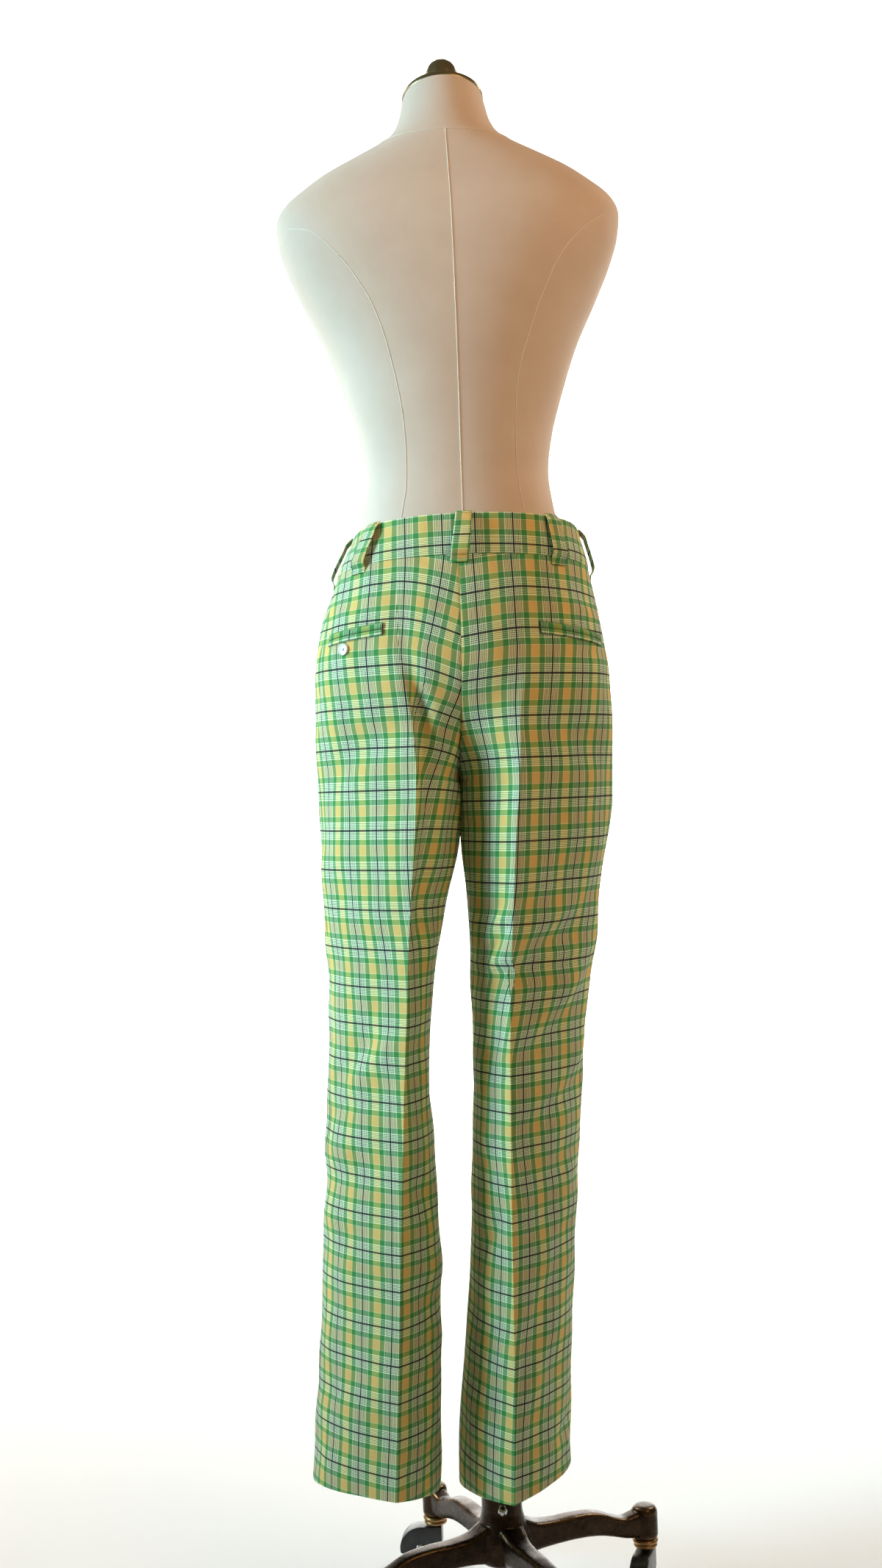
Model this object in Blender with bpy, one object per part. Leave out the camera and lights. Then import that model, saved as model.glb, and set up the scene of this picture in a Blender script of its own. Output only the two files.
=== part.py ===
"""Tailored trousers on a dress form stand.

The trousers hang on the hips of a limbless dress form. Their legs fall round the form's pole,
which slides in a tube on a four-armed casting with swivel casters.

Metres, +Z up. Everything is modelled round the pole, and at the end the whole model is moved
sideways by POLE_X, so that the origin is on the floor under the middle of the outline. -Y is the
wearer's back, +Y the front, -X the wearer's left. Tables are in millimetres, and are turned into
metres where they are read.
"""

import math

import bmesh
import bpy
import numpy as np
from mathutils import Matrix, Vector

MM = 0.001
SEAM_GAP = 0.3 * MM
POLE_X = 13.65 * MM
LEFT, RIGHT = -1, 1
BACK, FRONT = -1, 1
SIDE_NAMES = {LEFT: "left", RIGHT: "right"}
HALF_NAMES = {BACK: "back", FRONT: "front"}

# Driving heights of the garment
WAIST_TOP = 1215.5 * MM
WAIST_SEAM = 1169.5 * MM
SEAT_TOP = 1042 * MM
CROTCH = 942 * MM
LEG_FORM_TOP = 1078 * MM
LEG_FORM_WHOLE = 926 * MM
WAIST_TILT = 0.124
MEETING_FADE = 55 * MM
LEG_PARTING = 0.02
VALLEY_RISE = 25 * MM

# Cloth
CLOTH = 1.3 * MM
BAND_CLOTH = 2.4 * MM
BAND_PROUD = 1.0 * MM
BODY_ROUNDNESS = 2.15
CROTCH_TURN = 0.30
CREASE_AT = 0.5

# Hips and waist, one ellipse-like ring a row
BODY_COLUMNS = ("z", "centre", "half", "back", "front")
BODY = (
    (926.0, -9.0, 166.0, 116.0, 106.0),
    (1011.0, -9.0, 166.0, 118.0, 108.0),
    (1072.0, -9.1, 162.4, 117.0, 108.0),
    (1113.0, -8.8, 155.4, 113.0, 106.0),
    (1154.0, -5.6, 143.5, 107.0, 102.0),
    (1174.0, -3.6, 138.5, 103.0, 99.0),
    (1215.0, 1.0, 124.0, 95.0, 93.0),
    (1236.0, 1.5, 122.0, 93.0, 91.0),
)
# The centre plane, where the two halves meet
CENTRE_COLUMNS = ("z", "x")
CENTRE = ((942.0, -17.0), (1011.0, -13.0), (1072.0, -10.5), (1130.0, -9.5), (1236.0, -9.0))

# Each leg: its outer and inner edge seen from behind, its back crease, and half its depth
LEG_COLUMNS = ("z", "outer", "inner", "crease", "depth")
LEGS = {
    LEFT: (
        (150.0, -212.5, -68.0, -115.0, 100.0),
        (228.0, -205.0, -64.0, -110.5, 99.0),
        (310.0, -197.5, -60.5, -106.0, 98.5),
        (392.0, -191.0, -58.0, -101.5, 98.0),
        (474.0, -186.0, -57.5, -97.0, 98.0),
        (556.0, -181.0, -60.0, -92.0, 98.0),
        (638.0, -176.0, -61.5, -87.0, 99.0),
        (720.0, -173.0, -53.5, -81.0, 102.0),
        (761.0, -173.5, -46.0, -78.5, 105.0),
        (802.0, -174.5, -38.0, -75.0, 108.0),
        (843.0, -176.0, -27.0, -71.0, 110.0),
        (884.0, -174.6, -20.5, -67.0, 112.0),
        (942.0, -176.0, -17.2, -63.0, 113.0),
        (1011.0, -175.5, -14.0, -66.0, 114.0),
        (1080.0, -171.0, -11.0, -77.0, 112.0),
    ),
    RIGHT: (
        (150.0, 80.0, -47.0, 10.5, 100.0),
        (228.0, 80.0, -44.0, 13.5, 99.0),
        (310.0, 85.0, -35.0, 17.0, 98.5),
        (392.0, 91.0, -26.5, 19.0, 98.0),
        (474.0, 97.5, -21.0, 20.5, 98.0),
        (556.0, 105.0, -17.0, 22.5, 98.0),
        (638.0, 112.0, -13.0, 25.0, 99.0),
        (720.0, 123.0, -12.8, 28.5, 102.0),
        (761.0, 131.0, -12.8, 31.0, 105.0),
        (802.0, 135.5, -13.0, 34.0, 108.0),
        (843.0, 141.0, -15.0, 37.0, 110.0),
        (884.0, 151.0, -15.8, 40.0, 112.0),
        (942.0, 155.5, -16.8, 46.0, 113.0),
        (1011.0, 157.0, -14.0, 50.0, 114.0),
        (1080.0, 153.5, -9.0, 58.0, 112.0),
    ),
}
# Where the side seam lies, in degrees round the hips from the centre back
SIDE_SEAM_DEGREES = {LEFT: 72.0, RIGHT: 86.0}
# Height of the hem at the inseam, at the crease and at the side seam
HEM = {
    (LEFT, BACK): (166.0, 181.0, 171.0),
    (LEFT, FRONT): (166.0, 178.0, 171.0),
    (RIGHT, BACK): (168.0, 173.0, 188.0),
    (RIGHT, FRONT): (168.0, 178.0, 188.0),
}

# Largest folds. round: place round the leg, 0 inseam, 0.5 back crease, 1 side seam, 1.5 front
# crease. slope: degrees that the fold rises towards the side seam. Sizes in millimetres.
FOLD_COLUMNS = ("side", "z", "round", "slope", "length", "width", "height")
FOLDS = (
    (RIGHT, 752.0, 0.60, 38.0, 70.0, 17.0, -6.0),
    (RIGHT, 775.0, 0.55, 34.0, 60.0, 15.0, 4.5),
    (RIGHT, 705.0, 0.72, 40.0, 75.0, 18.0, 4.0),
    (RIGHT, 672.0, 0.70, 36.0, 70.0, 17.0, -4.0),
    (RIGHT, 620.0, 0.78, 30.0, 70.0, 18.0, 3.5),
    (RIGHT, 590.0, 0.74, 28.0, 65.0, 16.0, -3.0),
    (LEFT, 655.0, 0.72, -42.0, 45.0, 14.0, -3.5),
    (LEFT, 640.0, 0.66, -42.0, 45.0, 14.0, 3.0),
    (LEFT, 545.0, 0.86, -10.0, 60.0, 18.0, 3.0),
    (LEFT, 510.0, 0.88, -12.0, 60.0, 18.0, -3.0),
    (LEFT, 420.0, 0.25, 20.0, 60.0, 20.0, 3.5),
    (LEFT, 380.0, 0.25, 20.0, 60.0, 20.0, -3.5),
    (LEFT, 985.0, 0.66, -35.0, 80.0, 20.0, -4.0),
    (RIGHT, 985.0, 0.68, -35.0, 70.0, 20.0, -3.0),
    (RIGHT, 690.0, 1.45, 25.0, 70.0, 18.0, -4.0),
    (LEFT, 690.0, 1.45, -25.0, 70.0, 18.0, -4.0),
)
ROUND_LENGTH = 250 * MM

# Panel grid
ROWS_ABOVE_SEAT = 6
ROWS_ROUND_CROTCH = 7
ROWS_DOWN_LEG = 21
COLUMNS_TO_CREASE = 6
COLUMNS_PAST_CREASE = 7
OUTER_FAN = 26 * MM

# Waistband, loops, pockets, buttons
BAND_COLUMNS = 22
BAND_LAP = 28 * MM
LOOP_WIDTH = 19 * MM
LOOP_CLOTH = 1.6 * MM
LOOP_STAND_OFF = 6.2 * MM
LOOP_SEWN_LIFT = 0.5 * MM
# A belt loop from its foot to its head: share of the band's height, millimetres above that,
# and share of the way from its sewn end to where it stands off
LOOP_PATH = (
    (0.0, -9.0, 0.0),
    (0.0, -5.0, 0.07),
    (0.0, -1.0, 0.51),
    (0.0, 4.0, 0.96),
    (0.5, 0.0, 1.0),
    (1.0, -7.0, 0.96),
    (1.0, -2.5, 0.40),
    (1.0, 0.5, 0.0),
)
# Places of the belt loops, in degrees round the waist from the centre back
LOOP_PLACES = (
    (RIGHT, -1.3),
    (LEFT, 51.0),
    (RIGHT, 45.0),
    (LEFT, 92.0),
    (RIGHT, 92.0),
    (LEFT, 142.0),
    (RIGHT, 142.0),
)
WELT_WIDTH = 5.2 * MM
WELT_CLOTH = 1.2 * MM
WELT_LIFT = 0.45 * MM
WELT_CROWN = 0.5 * MM
WELT_COLUMNS = 10
POCKET_COLUMNS = ("side", "inner_degrees", "inner_z", "outer_degrees", "outer_z")
POCKETS = (
    (LEFT, 30.0, 1101.0, 63.0, 1096.5),
    (RIGHT, 30.0, 1097.0, 70.0, 1088.0),
)
POCKET_BUTTON_RADIUS = 6.5 * MM
POCKET_BUTTON_PLACE = (50.0, 1085 * MM)
BUTTON_LIFT = 0.6 * MM
BAND_BUTTON_RADIUS = 8.0 * MM
BAND_BUTTON_TURN = math.radians(173.7)
BUTTON_THICKNESS = 2.6 * MM
FLY_WIDTH = 36 * MM
FLY_FOOT = 1030 * MM
FLY_OVERLAP = 4 * MM
FLY_LIFT = 0.9 * MM
FLY_ROWS = 9
FLY_COLUMNS = (0.0, 0.3, 0.65, 1.0)

# Dress form, rings from the foot of the trunk to the neck
FORM_X = -6 * MM
FORM_SEGMENTS = 36
FORM_COLUMNS = ("z", "half", "back", "front", "shift", "roundness")
FORM = (
    (1001.0, 112.0, 52.0, 50.0, 0.0, 2.3),
    (1005.0, 130.0, 66.0, 64.0, 0.0, 2.3),
    (1016.0, 143.0, 79.0, 77.0, 0.0, 2.3),
    (1036.0, 151.0, 91.0, 88.0, 0.0, 2.3),
    (1066.0, 154.0, 100.0, 95.0, 0.0, 2.3),
    (1100.0, 147.5, 102.0, 96.0, 0.0, 2.2),
    (1140.0, 137.0, 97.0, 94.0, 0.0, 2.2),
    (1180.0, 124.0, 90.0, 89.0, 0.0, 2.2),
    (1210.0, 113.8, 85.6, 87.8, 0.0, 2.2),
    (1249.0, 105.0, 81.0, 84.0, 0.0, 2.2),
    (1280.0, 101.5, 79.0, 84.0, 0.0, 2.2),
    (1323.0, 107.0, 82.0, 90.0, 0.0, 2.2),
    (1372.0, 121.0, 88.0, 102.0, 0.0, 2.2),
    (1421.0, 138.0, 94.0, 115.0, 0.0, 2.25),
    (1470.0, 161.0, 98.0, 118.0, 0.0, 2.3),
    (1510.0, 178.5, 98.0, 108.0, 0.0, 2.4),
    (1544.0, 188.5, 95.0, 96.0, 0.0, 2.5),
    (1569.0, 189.0, 89.0, 84.0, 0.0, 2.5),
    (1583.0, 181.0, 83.0, 76.0, 0.0, 2.4),
    (1600.0, 162.0, 76.0, 68.0, 1.0, 2.3),
    (1618.0, 137.0, 69.0, 62.0, 2.0, 2.2),
    (1634.0, 108.0, 63.0, 56.0, 4.0, 2.1),
    (1648.0, 82.0, 58.0, 52.0, 6.0, 2.0),
    (1660.0, 63.0, 54.0, 50.0, 8.0, 2.0),
    (1674.0, 53.0, 50.0, 49.0, 9.0, 2.0),
    (1690.0, 48.0, 48.0, 48.0, 10.0, 2.0),
    (1702.0, 45.0, 46.0, 46.0, 10.0, 2.0),
)
NECK_TILT_FROM = 1648 * MM
NECK_TILT = math.radians(17)
CAP_RADIUS = 45.5 * MM
KNOB_RADIUS = 19.5 * MM
KNOB_TOP = 1755 * MM

# Stand
POLE_RADIUS = 8.0 * MM
POLE_FOOT = 205 * MM
TUBE_RADIUS = 12.5 * MM
TUBE_TOP = 452 * MM
COLLAR_RADIUS = 14.5 * MM
COLLAR_HEIGHT = 22 * MM
HUB_TOP = 155 * MM
HUB_RADIUS = 22.5 * MM
BOSS_AT = 183 * MM
BOSS_RADIUS = 15.0 * MM
BOSS_TOP = 98 * MM
BOSS_FOOT = 60.3 * MM
RING_FOOT = 50 * MM
ARM_AZIMUTHS = (25.0, 115.0, 205.0, 295.0)
ARM_COLUMNS = ("reach", "top", "foot", "width")
ARM = (
    (8.0, 122.0, 76.0, 34.0),
    (24.0, 118.0, 76.0, 32.0),
    (38.0, 111.0, 78.0, 28.0),
    (60.0, 107.5, 79.0, 24.0),
    (90.0, 107.0, 79.0, 22.0),
    (120.0, 103.0, 76.0, 21.0),
    (142.0, 93.5, 70.0, 20.0),
    (154.0, 90.0, 66.0, 20.0),
    (166.0, 92.0, 64.0, 22.0),
    (178.0, 94.0, 64.0, 22.0),
)
SCREW_Z = 141 * MM

# Casters
WHEEL_RADIUS = 22 * MM
WHEEL_WIDTH = 15 * MM
WHEEL_TRAIL = 18 * MM
WHEEL_SEGMENTS = 20
ROUND_SMALL = 14
HOOD_RADIUS = 25.5 * MM
HOOD_WIDTH = 21 * MM
HOOD_SLOT = 15.6 * MM
HOOD_CLEARANCE = 1.2 * MM
HOOD_FRONT = 7.5 * MM
# Where each caster trails, in degrees from +X
CASTER_HEADINGS = (250.0, 175.0, 160.0, 20.0)

CREAM = (0.80, 0.72, 0.62, 1.0)
BRONZE = (0.085, 0.06, 0.04, 1.0)
CAP_BRONZE = (0.24, 0.19, 0.12, 1.0)
GOLD = (0.55, 0.40, 0.20, 1.0)
CHROME = (0.75, 0.75, 0.76, 1.0)
BLACK = (0.015, 0.015, 0.017, 1.0)
PLAID_GREEN = (0.45, 0.66, 0.36, 1.0)
BAND_GREEN = (0.42, 0.62, 0.34, 1.0)
PEARL = (0.88, 0.87, 0.82, 1.0)


def clear_scene():
    for thing in list(bpy.data.objects):
        bpy.data.objects.remove(thing, do_unlink=True)


def material(name, colour, roughness, metallic=0.0):
    found = bpy.data.materials.get(name)
    if found:
        return found
    made = bpy.data.materials.new(name)
    made.use_nodes = True
    shader = made.node_tree.nodes["Principled BSDF"]
    shader.inputs["Base Color"].default_value = colour
    shader.inputs["Roughness"].default_value = roughness
    shader.inputs["Metallic"].default_value = metallic
    return made


def add_object(name, mesh, surface):
    made = bpy.data.objects.new(name, mesh)
    bpy.context.scene.collection.objects.link(made)
    mesh.materials.clear()
    mesh.materials.append(surface)
    mesh.shade_smooth()
    mesh.set_sharp_from_angle(angle=math.radians(35))
    return made


def mesh_of(name, points, faces):
    mesh = bpy.data.meshes.new(name)
    mesh.from_pydata([tuple(p) for p in points], [], faces)
    mesh.validate()
    return mesh


def column(table, columns, name):
    at = columns.index(name)
    return np.array([row[at] for row in table], dtype=float)


def smooth_curve(xs, ys, x):
    """A smooth curve through the points (xs, ys), read at x; flat past the two ends."""
    if x <= xs[0]:
        return float(ys[0])
    if x >= xs[-1]:
        return float(ys[-1])
    slopes = np.gradient(ys, xs)
    i = int(np.searchsorted(xs, x)) - 1
    span = xs[i + 1] - xs[i]
    t = (x - xs[i]) / span
    start = (2 * t**3 - 3 * t**2 + 1) * ys[i] + (t**3 - 2 * t**2 + t) * span * slopes[i]
    end = (3 * t**2 - 2 * t**3) * ys[i + 1] + (t**3 - t**2) * span * slopes[i + 1]
    return float(start + end)


def read_row(table, columns, z):
    """Every column of a table at height z, in metres."""
    heights = column(table, columns, "z")
    return {
        name: smooth_curve(heights, column(table, columns, name), z / MM) * MM
        for name in columns[1:]
    }


def smooth_step(low, high, x):
    t = min(max((x - low) / (high - low), 0.0), 1.0)
    return t * t * (3 - 2 * t)


def body_point(side, turn, z):
    """A point of the hip ring: turn is the angle in radians from the centre back."""
    ring = read_row(BODY, BODY_COLUMNS, z)
    power = 2 / BODY_ROUNDNESS
    across = abs(math.sin(turn)) ** power
    along = abs(math.cos(turn)) ** power
    depth = -ring["back"] if math.cos(turn) > 0 else ring["front"]
    return ring["centre"] + side * ring["half"] * across, depth * along


def crease_x(side, half, z):
    """The x of the pressed crease. In front it lies on the other side of the leg's middle."""
    leg = read_row(LEGS[side], LEG_COLUMNS, z)
    middle = (leg["outer"] + leg["inner"]) / 2
    return leg["crease"] if half == BACK else 2 * middle - leg["crease"]


def hip_turn(side, half, place, z):
    """The angle round the hips that a place from the centre seam (0) to the side seam (1) has."""
    seam = math.radians(SIDE_SEAM_DEGREES[side])
    ring = read_row(BODY, BODY_COLUMNS, z)
    share = side * (crease_x(side, half, z) - ring["centre"]) / ring["half"]
    crease = math.asin(min(max(share, 0.05), 0.8) ** (BODY_ROUNDNESS / 2))
    if half == FRONT:
        seam = math.pi - seam
    if place < CREASE_AT:
        turn = crease * max(place - CROTCH_TURN, 0) / (CREASE_AT - CROTCH_TURN)
    else:
        turn = crease + (seam - crease) * (place - CREASE_AT) / (1 - CREASE_AT)
    return turn if half == BACK else math.pi - turn


def hip_loop(side, half, place, z):
    """The trunk's half ring, with a flat inner wall on the centre plane."""
    x, y = body_point(side, hip_turn(side, half, place, z), z)
    if place < CROTCH_TURN:
        y *= place / CROTCH_TURN
    return x, y


def leg_loop(side, half, place, z):
    """The leg's lens-shaped ring, from the inseam over the crease to the side seam."""
    leg = read_row(LEGS[side], LEG_COLUMNS, z)
    middle = (leg["outer"] + leg["inner"]) / 2
    reach = abs(leg["outer"] - leg["inner"]) / 2
    lean = leg["crease"] - middle
    bulge = (reach + math.sqrt(max(reach**2 - lean**2, 0.0))) / 2
    if place < CREASE_AT:
        along, wall = place / CREASE_AT, -side
    else:
        along, wall = (1 - place) / (1 - CREASE_AT), side
    x = middle + lean * along * -half + wall * bulge * (1 - along**2)
    return x, half * leg["depth"] * along


def seam_start(z):
    """The place where the panel's centre edge lies at height z: 0 below the crotch."""
    if z <= CROTCH:
        return 0.0
    if z >= SEAT_TOP:
        return CROTCH_TURN
    fall = (SEAT_TOP - z) / (SEAT_TOP - CROTCH)
    return CROTCH_TURN * (1 - fall**2.4) ** (1 / 2.4)


def fold_height(side, round_place, z):
    total = 0.0
    for row in FOLDS:
        fold = dict(zip(FOLD_COLUMNS, row))
        if fold["side"] != side:
            continue
        across = (round_place - fold["round"]) * ROUND_LENGTH
        up = z - fold["z"] * MM
        slope = math.radians(fold["slope"])
        along = across * math.cos(slope) + up * math.sin(slope)
        off = up * math.cos(slope) - across * math.sin(slope)
        reach = (along / (fold["length"] * MM)) ** 2 + (off / (fold["width"] * MM)) ** 2
        total += fold["height"] * MM * math.exp(-reach)
    return total


def edge_fade(place, z):
    """Folds die out at the seams, so that panels still meet there."""
    return smooth_step(0.0, 0.12, place - seam_start(z))


def smooth_skin(side, half, across, z):
    """The outer face without folds. across runs from the centre edge (0) to the side seam (1)."""
    start = seam_start(z)
    if across < CREASE_AT:
        place = start + (CREASE_AT - start) * across / CREASE_AT
    else:
        place = across
    legness = 1 - smooth_step(LEG_FORM_WHOLE, LEG_FORM_TOP, z)
    hip_x, hip_y = hip_loop(side, half, place, z)
    leg_x, leg_y = leg_loop(side, half, place, z)
    x = hip_x + (leg_x - hip_x) * legness
    y = hip_y + (leg_y - hip_y) * legness
    meeting = smooth_step(CROTCH - MEETING_FADE, CROTCH, z)
    if meeting > 0 and place < CREASE_AT:
        parting = SEAM_GAP / 2 + LEG_PARTING * max(CROTCH - z, 0.0)
        plane = read_row(CENTRE, CENTRE_COLUMNS, z)["x"] + side * parting
        edge_hip = hip_loop(side, half, start, z)[0]
        edge_leg = leg_loop(side, half, start, z)[0]
        pull = (plane - (edge_hip + (edge_leg - edge_hip) * legness)) * meeting
        valley = 2 - smooth_step(CROTCH, CROTCH + VALLEY_RISE, z)
        x += pull * (1 - ((place - start) / (CREASE_AT - start)) ** valley) ** 2.5
        x = side * max(side * x, side * plane)
    tilt = WAIST_TILT * smooth_step(SEAT_TOP, WAIST_SEAM, z)
    return Vector((x, y, z - tilt * y)), place


def normal_at(skin, across, z):
    """The outward normal of a skin(across, z), from small steps inside its edges."""
    step, rise = 0.002, 0.2 * MM
    low, high = max(across - step, 0.0), min(across + step, 1.0)
    above = z + rise if z > CROTCH + rise or z + rise < CROTCH else z
    along = skin(high, z) - skin(low, z)
    up = skin(across, above) - skin(across, z - rise)
    return along.cross(up).normalized()


def panel_skin(side, half):
    """A function of (across, z) for the outer face of a panel, and its outward normal."""

    def plain(across, z):
        return smooth_skin(side, half, across, z)[0]

    facing = -side * half

    def outward(across, z):
        return normal_at(plain, across, z) * facing

    def folded(across, z):
        point, place = smooth_skin(side, half, across, z)
        round_place = place if half == BACK else 2 - place
        height = fold_height(side, round_place, z) * edge_fade(place, z)
        return point + outward(across, z) * height

    return folded, outward


def hem_height(side, half, across):
    inner, crease, outer = (height * MM for height in HEM[(side, half)])
    if across < CREASE_AT:
        return inner + (crease - inner) * (across / CREASE_AT) ** 2
    return crease + (outer - crease) * (across - CREASE_AT) / (1 - CREASE_AT)


def panel_rows(side, half):
    """Heights of the panel's rows: a function of across for each."""
    rows = []
    outer_crotch = CROTCH + OUTER_FAN / 2
    for i in range(ROWS_ABOVE_SEAT):
        share = i / ROWS_ABOVE_SEAT
        inner = WAIST_SEAM - SEAM_GAP / 2 + (SEAT_TOP - WAIST_SEAM) * share
        rows.append((inner, inner))
    for i in range(ROWS_ROUND_CROTCH + 1):
        share = i / ROWS_ROUND_CROTCH
        inner = SEAT_TOP - (SEAT_TOP - CROTCH) * math.sin(share * math.pi / 2) ** 0.9
        rows.append((inner, SEAT_TOP + (outer_crotch - SEAT_TOP) * share))
    heights = [
        lambda across, inner=inner, outer=outer: inner
        + (outer - inner) * smooth_step(0.0, 0.9, across)
        for inner, outer in rows
    ]
    for i in range(1, ROWS_DOWN_LEG + 1):
        share = i / ROWS_DOWN_LEG
        heights.append(
            lambda across, share=share: (1 - share)
            * (CROTCH + (outer_crotch - CROTCH) * smooth_step(0.0, 0.9, across))
            + share * hem_height(side, half, across)
        )
    return heights


def closed_wall(name, outer, inner):
    """A closed wall from two equal grids of points."""
    rows, columns = len(outer), len(outer[0])
    points = [p for grid in (outer, inner) for row in grid for p in row]
    back = rows * columns

    def at(i, j):
        return i * columns + j

    faces = []
    for i in range(rows - 1):
        for j in range(columns - 1):
            quad = (at(i, j), at(i + 1, j), at(i + 1, j + 1), at(i, j + 1))
            faces.append(quad)
            faces.append(tuple(back + v for v in reversed(quad)))
    edge = [at(0, j) for j in range(columns)]
    edge += [at(i, columns - 1) for i in range(1, rows)]
    edge += [at(rows - 1, j) for j in range(columns - 2, -1, -1)]
    edge += [at(i, 0) for i in range(rows - 2, 0, -1)]
    for first, second in zip(edge, edge[1:] + edge[:1]):
        faces.append((first, second, back + second, back + first))
    return mesh_of(name, points, faces)


def wall_between(name, outer, inner):
    """The closed wall, with its faces turned outwards."""
    mesh = closed_wall(name, outer, inner)
    shape = bmesh.new()
    shape.from_mesh(mesh)
    if shape.calc_volume(signed=True) < 0:
        bmesh.ops.reverse_faces(shape, faces=shape.faces)
    shape.to_mesh(mesh)
    shape.free()
    return mesh


def across_steps():
    first = [CREASE_AT * i / COLUMNS_TO_CREASE for i in range(COLUMNS_TO_CREASE)]
    rest = [
        CREASE_AT + (1 - CREASE_AT) * i / COLUMNS_PAST_CREASE
        for i in range(COLUMNS_PAST_CREASE + 1)
    ]
    return first + rest


def trouser_panel(side, half, cloth):
    skin, outward = panel_skin(side, half)
    next_outward = panel_skin(side, -half)[1]
    steps = across_steps()
    outer, inner = [], []
    for height in panel_rows(side, half):
        outer_row, inner_row = [], []
        for across in steps:
            z = height(across)
            point = skin(across, z)
            normal = outward(across, z)
            if across == 1.0 or (across == 0.0 and z <= CROTCH):
                normal = (normal + next_outward(across, z)).normalized()
                inside = across + (0.01 if across == 0.0 else -0.01)
                ahead = skin(inside, z) - point
                ahead -= normal * ahead.dot(normal)
                point = point + ahead.normalized() * (SEAM_GAP / 2)
            outer_row.append(point)
            inner_row.append(point - normal * CLOTH)
        outer.append(outer_row)
        inner.append(inner_row)
    name = f"{HALF_NAMES[half]}_{SIDE_NAMES[side]}"
    return add_object(name, wall_between(name, outer, inner), cloth)


def band_skin(side, turn, z):
    """The waistband's outer face: the waist ring, set out a little."""
    step = 0.01
    x, y = body_point(side, turn, z)
    ahead = Vector((*body_point(side, turn + step, z), 0))
    behind = Vector((*body_point(side, turn - step, z), 0)) if turn > step else Vector((x, y, 0))
    if turn <= step:
        centre = read_row(BODY, BODY_COLUMNS, z)["centre"]
        behind = Vector((2 * centre - ahead.x, ahead.y, 0))
    along = (ahead - behind).normalized()
    out = Vector((along.y, -along.x, 0)) * side
    return Vector((x, y, z - WAIST_TILT * y)), out


def centre_turn(side, z):
    """The angle at which the waist ring crosses the centre plane, kept half a gap clear."""
    ring = read_row(BODY, BODY_COLUMNS, z)
    plane = read_row(CENTRE, CENTRE_COLUMNS, z)["x"] + side * SEAM_GAP / 2
    share = side * (plane - ring["centre"]) / ring["half"]
    return math.copysign(math.asin(abs(share) ** (BODY_ROUNDNESS / 2)), share)


def band_point(side, turn, z):
    if turn >= 0:
        return band_skin(side, turn, z)
    point, out = band_skin(-side, -turn, z)
    return point, out


def waistband(side, cloth):
    name = f"waistband_{SIDE_NAMES[side]}"
    heights = (WAIST_SEAM + SEAM_GAP / 2, (WAIST_SEAM + WAIST_TOP) / 2, WAIST_TOP)
    outer, inner = [], []
    for z in heights:
        first = centre_turn(side, z)
        last = math.pi - first
        turns = [first + (last - first) * i / BAND_COLUMNS for i in range(BAND_COLUMNS + 1)]
        lifts = [0.0] * len(turns)
        if side == LEFT:
            radius = read_row(BODY, BODY_COLUMNS, z)["half"]
            lap = BAND_LAP / radius
            turns[-1] = last - 0.10
            lifts[-1] = BAND_CLOTH + SEAM_GAP
            turns += [last + lap * share for share in (0.0, 0.35, 0.7, 1.0)]
            lifts += [BAND_CLOTH + SEAM_GAP] * 4
        outer_row, inner_row = [], []
        for turn, lift in zip(turns, lifts):
            mirrored = turn > math.pi
            facing = -side if mirrored else side
            point, out = band_point(facing, 2 * math.pi - turn if mirrored else turn, z)
            outer_row.append(point + out * (BAND_PROUD + lift))
            inner_row.append(point + out * (BAND_PROUD + lift - BAND_CLOTH))
        outer.append(outer_row)
        inner.append(inner_row)
    return add_object(name, wall_between(name, outer, inner), cloth)


def loop_skin(side, turn, z):
    """What a belt loop lies on: the band above the waist seam, the panel below it."""
    point, out = band_point(side, turn, z)
    return (point + out * BAND_PROUD if z > WAIST_SEAM else point), out


def loop_half_turn(side, centre):
    """Half the angle that a belt loop spans, so that it measures LOOP_WIDTH at mid band."""
    middle = (WAIST_SEAM + WAIST_TOP) / 2
    low, high = 0.0, math.radians(20)
    for _ in range(30):
        half_turn = (low + high) / 2
        ends = [band_point(side, centre + turn, middle) for turn in (-half_turn, half_turn)]
        first, last = (point + out * LOOP_STAND_OFF for point, out in ends)
        if (last - first).length < LOOP_WIDTH:
            low = half_turn
        else:
            high = half_turn
    return low


def belt_loop(number, side, degrees, cloth):
    name = f"belt_loop_{number}"
    band = WAIST_TOP - WAIST_SEAM
    # How far up the band and how far out the strap's inner face runs
    path = [
        (band * up_share + above * MM, LOOP_SEWN_LIFT + (LOOP_STAND_OFF - LOOP_SEWN_LIFT) * out_share)
        for up_share, above, out_share in LOOP_PATH
    ]
    centre = math.radians(degrees)
    half_turn = loop_half_turn(side, centre)
    mids = [loop_skin(side, centre, WAIST_SEAM + up) for up, _ in path]
    axis = [point + out * lift for (point, out), (_, lift) in zip(mids, path)]
    outer, inner = [], []
    for i, (up, lift) in enumerate(path):
        tangent = (axis[min(i + 1, len(axis) - 1)] - axis[max(i - 1, 0)]).normalized()
        outer_row, inner_row = [], []
        for share in (-1.0, 0.0, 1.0):
            point, out = loop_skin(side, centre + share * half_turn, WAIST_SEAM + up)
            face = (out - tangent * out.dot(tangent)).normalized()
            near = point + out * lift
            inner_row.append(near)
            outer_row.append(near + face * LOOP_CLOTH)
        outer.append(outer_row)
        inner.append(inner_row)
    return add_object(name, wall_between(name, outer, inner), cloth)


def on_hip(side, half, degrees, z):
    """A point and normal of the panel's outer face at an angle round the hips."""
    skin, outward = panel_skin(side, half)
    low, high = 0.0, 1.0
    for _ in range(30):
        across = (low + high) / 2
        place = smooth_skin(side, half, across, z)[1]
        turn = hip_turn(side, half, place, z)
        reached = turn if half == BACK else math.pi - turn
        if reached < math.radians(degrees):
            low = across
        else:
            high = across
    return skin(across, z), outward(across, z)


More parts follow.
